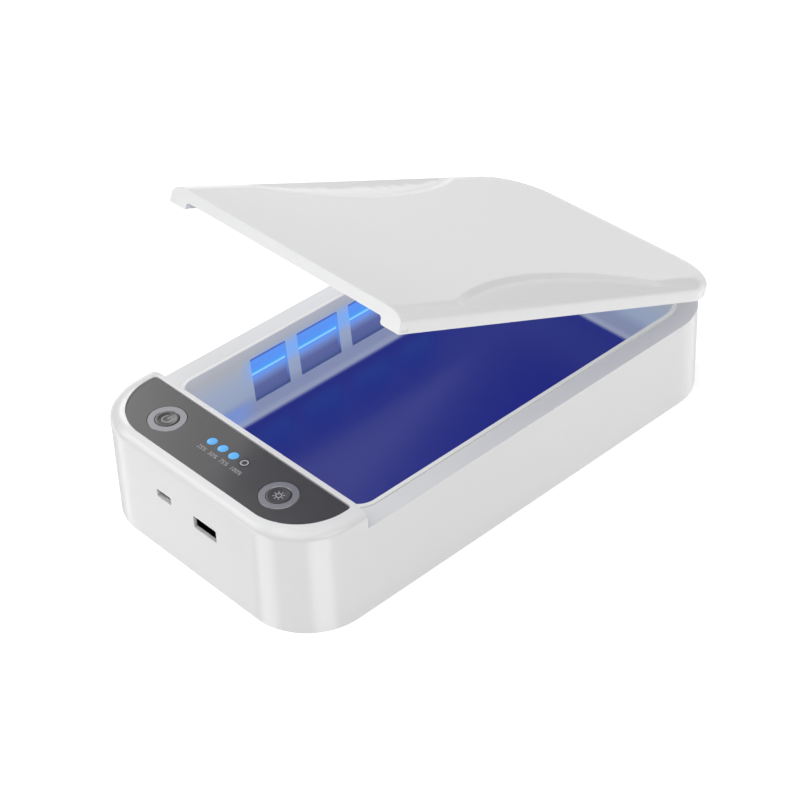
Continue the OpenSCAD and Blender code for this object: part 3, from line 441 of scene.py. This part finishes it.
ports = {
    "output": {"x": 9, "z": 26.35, "width": 12.5, "height": 5.3, "pocket": (13.3, 5.9)},
    "charge": {"x": -14, "z": 27.8, "width": 8, "height": 3.3, "pocket": (7.8, 3.0)},
    "wall": 1.4, "corner": 0.5,
}
deck = {
    "panelGap": 0.1, "floorThick": 2, "buttonX": 31, "buttonY": -94.4, "ringRadius": 7.4, "ringBore": 4.6,
    "lightY": -91.3, "lightPitch": 5.95, "lightRadius": 2.0, "lightStem": 1.4, "capHole": 5.05, "fit": 0.1,
    "ringSides": 96, "lightSides": 48, "stemSides": 32, "litLights": 3,
    # How the upper edges are rounded: inset and drop in mm
    "panelEdge": ((0, 0.25), (0.07, 0.07), (0.25, 0)), "lensEdge": ((0, 0.2), (0.1, 0.05), (0.35, 0)),
}
panelPlan = {
    "width": 2 * panelHigh.x, "front": panelLow.y, "rear": panelHigh.y, "frontCorner": 21.9, "rearCorner": 1.5,
}
lightXs = [(i - 1.5) * deck["lightPitch"] for i in range(4)]
hingeParts = {"spread": 21, "length": 24, "knuckle": 6, "radius": 3.2, "play": 0.4, "gap": 0.3, "bore": 1.27}
lidKnuckle = hingeParts["length"] - 2 * (hingeParts["knuckle"] + hingeParts["gap"])


def hingeRod(radius, x0, x1):
    return rod((x0, hingeAt.y, hingeAt.z), (x1, hingeAt.y, hingeAt.z), radius)


def awayFromHinge(point):
    # The small faces round the knuckles keep their edges
    near = 2 * hingeParts["radius"]
    beside = abs(point.x) > hingeParts["spread"] + hingeParts["length"]
    return point.y < hingeAt.y - near or abs(point.z - hingeAt.z) > near or beside


def makeBaseShell():
    underLedge = casing["ledge"] - casing["ledgeThick"]
    underDeck = panelLow.z - deck["floorThick"]
    far, inside, above = casing["length"], 30, 60      # the cuts end in the hollow, or well outside the casing
    shell = sweptSlab(planOf(0), casingProfile())
    cuts = [
        block((-far, casing["deckEnd"], casing["ledge"]), (far, far, 2 * casing["top"])),
        sweptSlab(planOf(casing["wall"]), [(0, -5), (0, underLedge)]),
        sweptSlab(planOf(casing["wall"], rear=casing["deckEnd"] - 2), [(0, 20), (0, underDeck)]),
        sweptSlab(grownPlan(tubPlan, tub["fit"]), [(0, inside), (0, above)]),
        sweptSlab(grownPlan(panelPlan, deck["panelGap"]), [(0, panelLow.z), (0, above)]),
    ]
    for x in (-deck["buttonX"], deck["buttonX"]):
        cuts.append(rod((x, deck["buttonY"], inside), (x, deck["buttonY"], above), deck["capHole"]))
    for x in lightXs:
        cuts.append(rod((x, deck["lightY"], inside), (x, deck["lightY"], above), deck["lightStem"],
                        sides=deck["stemSides"]))
    for port in (ports["output"], ports["charge"]):
        x, z, w, h = port["x"], port["z"], port["width"] / 2, port["height"] / 2
        mouth = block((x - w, frontY - 5, z - h), (x + w, frontY + 5, z + h))
        alongY = [e for e in mouth.edges if abs(e.verts[0].co.y - e.verts[1].co.y) > 1]
        bmesh.ops.bevel(mouth, geom=alongY, offset=ports["corner"], affect="EDGES", segments=4, profile=0.5,
                        material=-1)
        pw, ph = port["pocket"][0] / 2, port["pocket"][1] / 2
        cuts += [mouth, block((x - pw, frontY + ports["wall"], z - ph), (x + pw, frontY + 5, z + ph))]
    shell = carve(shell, cuts)
    knuckles, bores, notches = [], [], []
    reach = hingeParts["radius"] + hingeParts["play"]
    halfGap, halfLength = lidKnuckle / 2 + hingeParts["gap"], hingeParts["length"] / 2
    for side in (-1, 1):
        middle = side * hingeParts["spread"]
        notches.append(hingeRod(reach, middle - halfGap, middle + halfGap))
        notches.append(block((middle - halfGap, hingeAt.y - reach, hingeAt.z),
                             (middle + halfGap, far, casing["ledge"] + 5)))
        for end in (-1, 1):
            x, half = middle + end * (halfLength - hingeParts["knuckle"] / 2), hingeParts["knuckle"] / 2
            knuckles.append(hingeRod(hingeParts["radius"], x - half, x + half))
        bores.append(hingeRod(hingeParts["bore"], middle - halfLength, middle + halfLength))
    shell = carve(shell, knuckles, "UNION")
    shell = carve(shell, notches + bores)
    softenEdges(shell, casing["softEdge"], only=awayFromHinge, clamp=False)
    return finishPiece("base_casing", shell, glossWhiteAbs, "base", "white_shell", "base_shell")


makeBaseShell()
print("base casing made")


# Tub: leaning walls with a rounded foot, a thin lip, and windows for the lamps

def leanAt(z):
    return (lipTop - z) * tan(tub["lean"])


def tubProfile(floor, top, steps=6):
    turns = [pi / 2 * i / steps for i in range(steps + 1)]
    foot = [(leanAt(floor + tub["foot"] * (1 - cos(a))) + tub["foot"] * (1 - sin(a)),
             floor + tub["foot"] * (1 - cos(a))) for a in turns]
    return foot + [(leanAt(top), top)]


def windowStarts():
    widths, gap = tub["windowWidths"], tub["windowGap"]
    y = tub["windowMiddle"] - (sum(widths) + 3 * gap) / 2
    for width in widths:
        yield y, width
        y += width + gap


def makeTub():
    underLedge = casing["ledge"] - casing["ledgeThick"]
    outer = tubProfile(tub["floor"] - tub["wall"], underLedge - tub["flangeThick"])
    outer += [(-tub["flange"], outer[-1][1]), (-tub["flange"], underLedge), (leanAt(underLedge), underLedge)]
    outer.append((0, lipTop))
    cuts = [sweptSlab(grownPlan(tubPlan, -tub["wall"]), tubProfile(tub["floor"], lipTop + 1))]
    for y, width in windowStarts():
        for side in (-1, 1):
            x = side * tubPlan["width"] / 2
            opening = block((x - tub["windowReach"], y, tub["windowLow"]),
                            (x + tub["windowReach"], y + width, tub["windowHigh"]))
            alongX = [e for e in opening.edges if abs(e.verts[0].co.x - e.verts[1].co.x) > 1]
            bmesh.ops.bevel(opening, geom=alongX, offset=tub["windowCorner"], affect="EDGES", segments=4, profile=0.5,
                            material=-1)
            cuts.append(opening)
    walls = carve(sweptSlab(tubPlan, outer), cuts)
    softenEdges(walls, tub["softEdge"], only=lambda p: p.z > tub["softAbove"])
    walls.normal_update()
    for face in walls.faces:
        middle = face.calc_center_median()
        atHeight = tub["windowLow"] - 0.5 < middle.z < tub["windowHigh"] + 0.5
        alongWall = abs(middle.x) > 45 and abs(middle.y - tub["windowMiddle"]) < 50
        if atHeight and alongWall and abs(face.normal.x) < 0.4:
            # the lamp's light is painted onto the cut edges as blue colour and glow
            face.material_index = 1        # the cut edges take the colour of what lies behind them
    piece = finishPiece("tub", walls, lampLitAbs, "base", "tub_plastic", "tub_liner")
    piece.data.materials.append(lampLitCutAbs)
    return piece


makeTub()
print("tub made")


# Lid, modelled shut and then turned to where it rests

lid = {
    "gap": 0.3, "roof": 2.3, "skirt": 2.2, "frontThick": 2, "band": 4.5, "lug": 9.1, "lugBreak": 1.2,
    "scoopRadius": 117, "scoopReach": 21.6, "scoopY": 10, "scoopStep": 1.05, "scoopDepth": 1.35, "scoopRun": 3.8,
    "linerFit": 0.15, "linerPlate": 1.7, "notch": (3.6, 1.1, 0.6), "notchBehind": 2.9, "notchUp": 1.2,
    "sleeveBore": 2.22, "armThick": 3, "armUp": 2, "scoopSteps": 10, "scoopSides": 360,
    "linerLift": 0.4, "linerSoft": 0.3,
}
lidLow = casing["ledge"] + lid["gap"]
lidFront = casing["deckEnd"] + lid["gap"]
lidHollow = casing["top"] - lid["roof"]


def makeLidShell():
    away, top = casing["length"], casing["top"]
    shell = sweptSlab(planOf(0), edgeProfile([(0, lidLow)]))
    inner = planOf(lid["skirt"], front=lidFront + lid["frontThick"], frontCorner=casing["squareCorner"])
    hollow = sweptSlab(inner, [(0, lidLow - 5), (0, lidHollow)])
    half = sideX - lid["lug"]
    underBand = block((-half, lidFront - 5, lidLow - 5), (half, lidFront + lid["frontThick"] + 1, top - lid["band"]))
    cuts = [block((-away, -away, -away), (away, lidFront, away)), hollow, underBand]
    shell = carve(shell, cuts)
    scoops = []
    for side in (-1, 1):
        x = side * (sideX - lid["scoopReach"] + lid["scoopRadius"])
        far = lid["scoopRadius"] - lid["scoopReach"] - 3
        rings = [(far, top - lid["scoopDepth"])]
        for i in range(lid["scoopSteps"], -1, -1):
            part = i / lid["scoopSteps"]
            fall = lid["scoopStep"] * (1 - cos(pi * part)) / 2
            rings.append((lid["scoopRadius"] - lid["scoopRun"] * part, top - fall))
        rings += [(lid["scoopRadius"], top + 2), (far, top + 2)]
        scoops.append(lathe(rings + rings[:1], (x, lid["scoopY"], 0), lid["scoopSides"]))
        x = side * sideX
        across, up, deep = lid["notch"]
        y, z = lidFront + lid["notchBehind"], lidLow + lid["notchUp"]
        scoops.append(block((x - deep, y - across / 2, z - up / 2), (x + deep, y + across / 2, z + up / 2)))
    shell = carve(shell, scoops)
    halfKnuckle = lidKnuckle / 2
    knuckles = []
    for side in (-1, 1):
        middle = side * hingeParts["spread"]
        knuckles.append(hingeRod(hingeParts["radius"], middle - halfKnuckle, middle + halfKnuckle))
        knuckles.append(block((middle - halfKnuckle, rearY - lid["skirt"], hingeAt.z),
                              (middle + halfKnuckle, rearY - lid["skirt"] + lid["armThick"], lidLow + lid["armUp"])))
    shell = carve(shell, knuckles, "UNION")
    shell = carve(shell, [hingeRod(lid["sleeveBore"], -away, away)])
    frontWall = (lidFront - 1, lidFront + lid["frontThick"] + 1)
    lugEdges = [e for e in shell.edges if all(
        frontWall[0] < v.co.y < frontWall[1] and abs(abs(v.co.x) - half) < 0.05 for v in e.verts)
        and abs(e.verts[0].co.y - e.verts[1].co.y) > 1]
    bmesh.ops.bevel(shell, geom=lugEdges, offset=lid["lugBreak"], offset_type="OFFSET", affect="EDGES", segments=5,
                    profile=0.5, material=-1, clamp_overlap=True)
    softenEdges(shell, casing["softEdge"], only=awayFromHinge)
    return finishPiece("lid_outer", openLid(shell), lidPaintedLighterAbs, "lid", "white_shell", "lid_shell")


def makeLidLiner():
    inset = lid["skirt"] + lid["linerFit"]
    front = lidFront + lid["frontThick"] + lid["linerFit"]
    low = lipTop + lid["linerLift"]
    square = casing["squareCorner"]
    body = sweptSlab(planOf(inset, front=front, frontCorner=square), [(0, low), (0, lidHollow)])
    pocketPlan = planOf(lid["lug"], front=front - 30, frontCorner=square)      # open to the front
    body = carve(body, [sweptSlab(pocketPlan, [(0, low - 5), (0, lidHollow - lid["linerPlate"])])])
    softenEdges(body, lid["linerSoft"])
    return finishPiece("lid_inner", openLid(body), linerAbs, "lid", "tub_plastic", "lid_liner")


lidPieces = [makeLidShell(), makeLidLiner()]
print("lid made")


# Control deck: smoked panel, ring buttons, status lights

def makePanel():
    low, high = panelLow.z, panelHigh.z
    plate = sweptSlab(panelPlan, [(0, low)] + [(inset, high - drop) for inset, drop in deck["panelEdge"]])
    places = [(side * deck["buttonX"], deck["buttonY"], deck["ringRadius"], deck["ringSides"]) for side in (-1, 1)]
    places += [(x, deck["lightY"], deck["lightRadius"], deck["lightSides"]) for x in lightXs]
    holes = [rod((x, y, low - 2), (x, y, high + 2), r + deck["fit"], sides=sides) for x, y, r, sides in places]
    return finishPiece("smoked_panel", carve(plate, holes), smokeAcrylic, "base", "panel_acrylic", "control_panel")


button = {
    "ringSoft": 0.2, "cap": 4.5, "flange": 5.7, "flangeThick": 0.8, "stem": 2.2, "seatUp": 3.6, "dish": 0.25,
    "dishEdge": 1.2, "dishFloor": 2, "edge": ((0, 0.25), (0.07, 0.07), (0.3, 0)),
}


def makeButton(side, name):
    centre = (side * deck["buttonX"], deck["buttonY"], 0)
    low, high = boxOf("button_ring_" + name)
    inner, outer, soft = deck["ringBore"], deck["ringRadius"], button["ringSoft"]
    ring = [(inner, low.z), (outer, low.z), (outer, high.z - soft), (outer - soft, high.z),
            (inner + soft, high.z), (inner, high.z - soft), (inner, low.z)]
    finishPiece("ring_" + name, lathe(ring, centre, deck["ringSides"]), satinAluminium, "base",
                "button_ring_metal", "button_ring_" + name)
    low, high = boxOf("button_cap_" + name)
    cap, flange, stem, dish = (button[k] for k in ("cap", "flange", "stem", "dish"))
    seat = low.z + button["seatUp"]
    shoulder = seat + button["flangeThick"]
    section = [(0, low.z), (stem, low.z), (stem, seat), (flange, seat), (flange, shoulder), (cap, shoulder)]
    section += [(cap - inset, high.z - drop) for inset, drop in button["edge"]]
    section += [(cap - button["dishEdge"], high.z - 0.5 * dish), (button["dishFloor"], high.z - dish),
                (0, high.z - dish)]
    finishPiece("cap_" + name, lathe(section, centre, deck["ringSides"]), smokeAcrylic, "button_" + name,
                "button_cap_plastic", "button_cap_" + name)


def makeLights():
    for i, x in enumerate(lightXs, 1):
        node = "light_lens_%d" % i
        low, high = boxOf(node)
        r, stem = deck["lightRadius"], deck["lightStem"] - deck["fit"]
        lens = [(0, low.z), (stem, low.z), (stem, panelLow.z), (r, panelLow.z)]
        lens += [(r - inset, high.z - drop) for inset, drop in deck["lensEdge"]] + [(0, high.z)]
        lit = i <= deck["litLights"]
        lens = lathe(lens, (x, deck["lightY"], 0), deck["lightSides"])
        finishPiece("light_%d" % i, lens, litAcrylic if lit else unlitAcrylic, "base",
                    "light_lit" if lit else "light_unlit", node)


marks = {
    "thick": 0.02, "textSize": 2.7, "labels": (("25%", -8.7), ("50%", -2.6), ("75%", 3.4), ("100%", 10.0)),
    "labelY": -96.3, "rimInset": 0.35, "rimWidth": 0.62, "lineWidth": 0.42, "symbolRadius": 1.9,
    "steps": 48, "arc": (125, 290), "bar": (0.3, 0.5), "sun": 0.55, "rays": (0.8, 1.25), "rayCount": 8,
}


def textMesh(words, size, place):
    # Plain lettering, made a mesh before it is put in its place
    data = bpy.data.curves.new("words", "FONT")
    data.body, data.size, data.extrude = words, size, marks["thick"]
    data.align_x, data.align_y = "CENTER", "CENTER"
    letters = bpy.data.objects.new("words", data)
    bpy.context.scene.collection.objects.link(letters)
    shaped = bpy.data.meshes.new_from_object(letters.evaluated_get(bpy.context.evaluated_depsgraph_get()))
    bpy.data.objects.remove(letters)
    bm = bmesh.new()
    bm.from_mesh(shaped)
    bmesh.ops.translate(bm, verts=bm.verts, vec=place)
    return bm


def arcLine(centre, radius, start, sweep):
    # A flat printed line along an arc, with square ends
    bm = bmesh.new()
    half, thick = marks["lineWidth"] / 2, marks["thick"]
    section = [(-half, 0), (half, 0), (half, thick), (-half, thick)]
    turn = Matrix.Rotation(start, 3, "Z")
    centre = Vector(centre)
    verts = [bm.verts.new(centre + turn @ Vector((radius + r, 0, z))) for r, z in section]
    face = bm.faces.new(verts)
    bmesh.ops.spin(bm, geom=[face] + verts + face.edges[:], cent=centre, axis=(0, 0, 1), angle=sweep,
                   steps=marks["steps"])
    bmesh.ops.recalc_face_normals(bm, faces=bm.faces)
    return bm


def printedRing(inner, outer, place):
    thick = marks["thick"]
    return lathe([(inner, 0), (outer, 0), (outer, thick), (inner, thick), (inner, 0)], place, marks["steps"])


def joined(parts):
    bm = bmesh.new()
    for part in parts:
        mesh = bpy.data.meshes.new("part")
        part.to_mesh(mesh)
        part.free()
        bm.from_mesh(mesh)
    return bm


def makeMarks():
    top = panelHigh.z
    words = [textMesh(text, marks["textSize"], (x, marks["labelY"], top)) for text, x in marks["labels"]]
    finishPiece("light_labels", joined(words), screenInk, "base", "panel_acrylic")
    height = boxOf("light_lens_4")[1].z
    outer = deck["lightRadius"] - marks["rimInset"]
    rim = printedRing(outer - marks["rimWidth"], outer, (lightXs[3], deck["lightY"], height))
    finishPiece("light_rim", rim, screenInk, "base", "light_unlit")
    # On the left button a broken circle with an upright bar, on the right one a small sun
    r, half, thick = marks["symbolRadius"], marks["lineWidth"] / 2, marks["thick"]
    for side, name in ((-1, "left"), (1, "right")):
        x, y = side * deck["buttonX"], deck["buttonY"]
        z = boxOf("button_cap_" + name)[1].z - button["dish"]
        if side < 0:
            start, sweep = (radians(a) for a in marks["arc"])
            foot, head = marks["bar"]
            lines = [arcLine((x, y, z), r, start, sweep),
                     block((x - half, y + foot, z), (x + half, y + r + head, z + thick))]
        else:
            inner, outer = (r * part for part in marks["rays"])
            lines = [printedRing(r * marks["sun"] - half, r * marks["sun"] + half, (x, y, z))]
            for i in range(marks["rayCount"]):
                turn = Matrix.Rotation(2 * pi * i / marks["rayCount"], 3, "Z")
                ray = block((-half, inner, z), (half, outer, z + thick))
                bmesh.ops.rotate(ray, verts=ray.verts, cent=(0, 0, 0), matrix=turn)
                bmesh.ops.translate(ray, verts=ray.verts, vec=(x, y, 0))
                lines.append(ray)
        finishPiece("symbol_" + name, joined(lines), screenInk, "button_" + name, "button_cap_plastic")


makePanel()
makeMarks()
makeButton(-1, "left")
makeButton(1, "right")
makeLights()
print("control deck made")


# What stays as the frame has it, with its own finish
finishes = {
    "lamp_tube_left": lampGlass, "lamp_tube_right": lampGlass,
    "reflector_left": lampLitAluminium, "reflector_right": lampLitAluminium,
    "bottom_cover": mattWhiteAbs, "cover_screws": screwSteel, "board_screws": screwSteel, "driver_screws": screwSteel,
    "main_board": glassFibreBoard, "driver_board": glassFibreBoard, "lid_sensor": reedGlass,
    "output_socket": stampedSteel, "charge_socket": stampedSteel,
    "output_tongue": greyNylon, "charge_tongue": blackNylon,
    "driver_transformer": polyesterTape, "status_chips": chipPhosphor,
    "base_magnet_left": nickel, "base_magnet_right": nickel, "lid_magnet_left": nickel, "lid_magnet_right": nickel,
}
for side in ("left", "right"):
    finishes["button_switch_" + side] = blackNylon
    finishes["switch_plunger_" + side] = paleNylon
    finishes["driver_plug_" + side] = paleNylon
    finishes["lamp_leads_" + side] = siliconeRubber
    finishes["hinge_pin_" + side] = screwSteel
    finishes["hinge_sleeve_" + side] = acetal
    for end in ("front", "rear"):
        finishes["lamp_boot_%s_%s" % (end, side)] = siliconeRubber
        finishes["foot_pad_%s_%s" % (end, side)] = mattRubber
for node, material in finishes.items():
    nodes[node].data.materials.clear()
    nodes[node].data.materials.append(material)


# Floor, light and camera

studio = {
    "floorColour": "#f2f2f2", "floorGlow": 0.38, "floorSize": 24, "backdropGlow": 0.72, "backdropHeight": 9,
    "sky": 0.3, "below": 0.75,      # strength of the world above and below the horizon
    # Strip lights below the horizon, which the glossy walls reflect: heading, half width, strength, soft edge
    "strips": ((-158, 9, 0.75), (-112, 13, 1.25), (-21, 15, 1.6), (72, 22, 0.6), (114, 12, 0.12)), "stripEdge": 9,
    # Soft round lights: heading, elevation, inner and outer half width in degrees, and strength
    "rounds": ((-140, 36, 8, 24, 1.8), (-127, -3, 4, 12, 1.15), (160, 35, 8, 13.7, 2.4), (139, 33, 1, 6.5, 1.3),
               (150, -1, 5, 26, 0.47)),
    "softboxes": {
        "key": {"at": (0.15, -0.55, 1.4), "size": (1.2, 1.2), "power": 6.2},
        "right": {"at": (1.25, -0.1, 0.95), "size": (0.9, 0.9), "power": 4.4},
    },
    "shadowed": {       # these two don't shine past the open lid
        "left": {"at": (-0.9, -0.2, 1.5), "size": (1.2, 1.2), "power": 4.8},
        "top": {"at": (0.2, 0.45, 1.4), "size": (1.0, 1.0), "power": 2.4},
    },
    "camera": (472.8, -434.4, 508.9), "yaw": 47.96, "pitch": -37.41, "roll": -2.48, "lens": 94.1,
}


def stagePiece(name, bm, materialName, colour, glow, shine):
    mesh = bpy.data.meshes.new(name)
    bm.to_mesh(mesh)
    bm.free()
    material, tree, shader = newMaterial(materialName)
    shader.inputs["Base Color"].default_value = linear(colour)
    shader.inputs["Roughness"].default_value = 0.9
    shader.inputs["Specular IOR Level"].default_value = shine
    shader.inputs["Emission Color"].default_value = linear("#ffffff")
    shader.inputs["Emission Strength"].default_value = glow
    mesh.materials.append(material)
    piece = bpy.data.objects.new(name, mesh)
    piece.visible_glossy = False      # the walls reflect the studio's lower half instead
    bpy.context.scene.collection.objects.link(piece)
    return piece


def makeFloor():
    # Opal acrylic table, lit from below, so that what stands on it has hardly any shadow
    bm = bmesh.new()
    bmesh.ops.create_grid(bm, x_segments=2, y_segments=2, size=studio["floorSize"] / 2)
    stagePiece("floor", bm, "opalAcrylic", studio["floorColour"], studio["floorGlow"], 0.1)


def makeBackdrop():
    # A pale painted wall all round and far away, which only the camera sees, so that every view has a plain ground
    bm = bmesh.new()
    tall, radius = studio["backdropHeight"], studio["floorSize"] / 2 - 0.5
    bmesh.ops.create_cone(bm, cap_ends=False, segments=96, radius1=radius, radius2=radius, depth=tall,
                          matrix=Matrix.Translation((0, 0, tall / 2)))
    bmesh.ops.reverse_faces(bm, faces=bm.faces)
    wall = stagePiece("backdrop", bm, "paintedWall", "#000000", studio["backdropGlow"], 0.0)
    wall.visible_diffuse = wall.visible_shadow = False
    wall.visible_transmission = wall.visible_volume_scatter = False


def areaLight(name, place, target, size, power, colour=(1, 1, 1)):
    data = bpy.data.lights.new(name, "AREA")
    data.shape, data.size, data.size_y, data.energy, data.color = "RECTANGLE", size[0], size[1], power, colour
    lamp = bpy.data.objects.new(name, data)
    aim = Vector(target) - Vector(place)
    lamp.matrix_world = Matrix.Translation(place) @ aim.to_track_quat("-Z", "Y").to_matrix().to_4x4()
    lamp.visible_camera = False
    bpy.context.scene.collection.objects.link(lamp)
    return lamp


def makeLampGlow():
    # A little of the light that the lamps throw through their windows
    glow = {"power": 0.01, "height": 10, "colour": (0.0, 0.05, 1.0), "spread": 110}
    low, high = boxOf("lamp_tube_right")
    middle = (low + high) / 2
    for side in (-1, 1):
        place = Vector((side * (tubPlan["width"] / 2 + 0.6), middle.y, middle.z)) * mm
        target = Vector((0, middle.y, tub["floor"])) * mm
        size = ((high.y - low.y) * mm, glow["height"] * mm)
        lamp = areaLight("glow", place, target, size, glow["power"], glow["colour"])
        lamp.data.spread = radians(glow["spread"])
        lamp.visible_glossy = False


def makeCamera():
    yaw, pitch, roll = (radians(studio[k]) for k in ("yaw", "pitch", "roll"))
    ahead = Vector((-sin(yaw) * cos(pitch), cos(yaw) * cos(pitch), sin(pitch)))
    right = Vector((cos(yaw), sin(yaw), 0))
    up = right.cross(ahead)
    rolledRight = right * cos(roll) + up * sin(roll)
    rolledUp = up * cos(roll) - right * sin(roll)
    data = bpy.data.cameras.new("camera")
    data.lens, data.sensor_width = studio["lens"], 36
    data.clip_start, data.clip_end = 0.01, 20
    camera = bpy.data.objects.new("camera", data)
    turn = Matrix((rolledRight, rolledUp, -ahead)).transposed().to_4x4()
    camera.matrix_world = Matrix.Translation(Vector(studio["camera"]) * mm) @ turn
    bpy.context.scene.collection.objects.link(camera)
    bpy.context.scene.camera = camera


def makeWorld():
    # An even pale room above, a bright one below with strips in it, and the round lights over both
    world = bpy.data.worlds.new("studio")
    bpy.context.scene.world = world
    world.use_nodes = True
    tree = world.node_tree
    towards = addNode(tree, "ShaderNodeTexCoord").outputs["Generated"]
    level = addNode(tree, "ShaderNodeVectorMath", [(towards, 0)], operation="MULTIPLY", in_1=(1, 1, 0))
    heading = addNode(tree, "ShaderNodeVectorMath", [(level.outputs[0], 0)], operation="NORMALIZE").outputs[0]
    height = addNode(tree, "ShaderNodeSeparateXYZ", [(towards, "Vector")]).outputs["Z"]
    light = addNode(tree, "ShaderNodeValue").outputs[0]
    light.default_value = studio["below"] - studio["sky"]
    for azimuth, half, strength in studio["strips"]:
        turn = radians(azimuth)
        facing = addNode(tree, "ShaderNodeVectorMath", [(heading, 0)], operation="DOT_PRODUCT",
                         in_1=(cos(turn), sin(turn), 0))
        edge = studio["stripEdge"]
        strip = addNode(tree, "ShaderNodeMapRange", [(facing.outputs["Value"], "Value")],
                        interpolation_type="SMOOTHSTEP", in_From_Min=cos(radians(half + edge)),
                        in_From_Max=cos(radians(half - edge)), in_To_Max=strength)
        light = addNode(tree, "ShaderNodeMath", [(light, 0), (strip.outputs["Result"], 1)],
                        operation="ADD").outputs[0]
    below = addNode(tree, "ShaderNodeMath", [(height, 0)], operation="LESS_THAN", in_1=0.0).outputs[0]
    total = addNode(tree, "ShaderNodeMath", [(below, 0), (light, 1)], operation="MULTIPLY_ADD",
                    in_2=studio["sky"]).outputs[0]
    for azimuth, elevation, inner, outer, strength in studio["rounds"]:
        turn, lift = radians(azimuth), radians(elevation)
        facing = addNode(tree, "ShaderNodeVectorMath", [(towards, 0)], operation="DOT_PRODUCT",
                         in_1=(cos(turn) * cos(lift), sin(turn) * cos(lift), sin(lift)))
        spot = addNode(tree, "ShaderNodeMapRange", [(facing.outputs["Value"], "Value")],
                       interpolation_type="SMOOTHSTEP", in_From_Min=cos(radians(outer)),
                       in_From_Max=cos(radians(inner)), in_To_Max=strength)
        total = addNode(tree, "ShaderNodeMath", [(total, 0), (spot.outputs["Result"], 1)],
                        operation="ADD").outputs[0]
    tree.links.new(total, tree.nodes["Background"].inputs["Strength"])
    tree.nodes["Background"].inputs["Color"].default_value = linear("#ffffff")


makeFloor()
makeBackdrop()
shadeless = bpy.data.collections.new("lid without shadow")     # the softboxes shine past the open lid
for piece in lidPieces:
    shadeless.objects.link(piece)
for member in shadeless.collection_objects:
    member.light_linking.link_state = "EXCLUDE"
for name, box in studio["softboxes"].items():
    lamp = areaLight(name, box["at"], (0, 0, 0.02), box["size"], box["power"])
    lamp.light_linking.blocker_collection = shadeless
for name, box in studio["shadowed"].items():
    areaLight(name, box["at"], (0, 0, 0.02), box["size"], box["power"])
makeLampGlow()
makeCamera()
makeWorld()
bpy.context.scene.view_settings.view_transform = "Standard"
print("studio set")
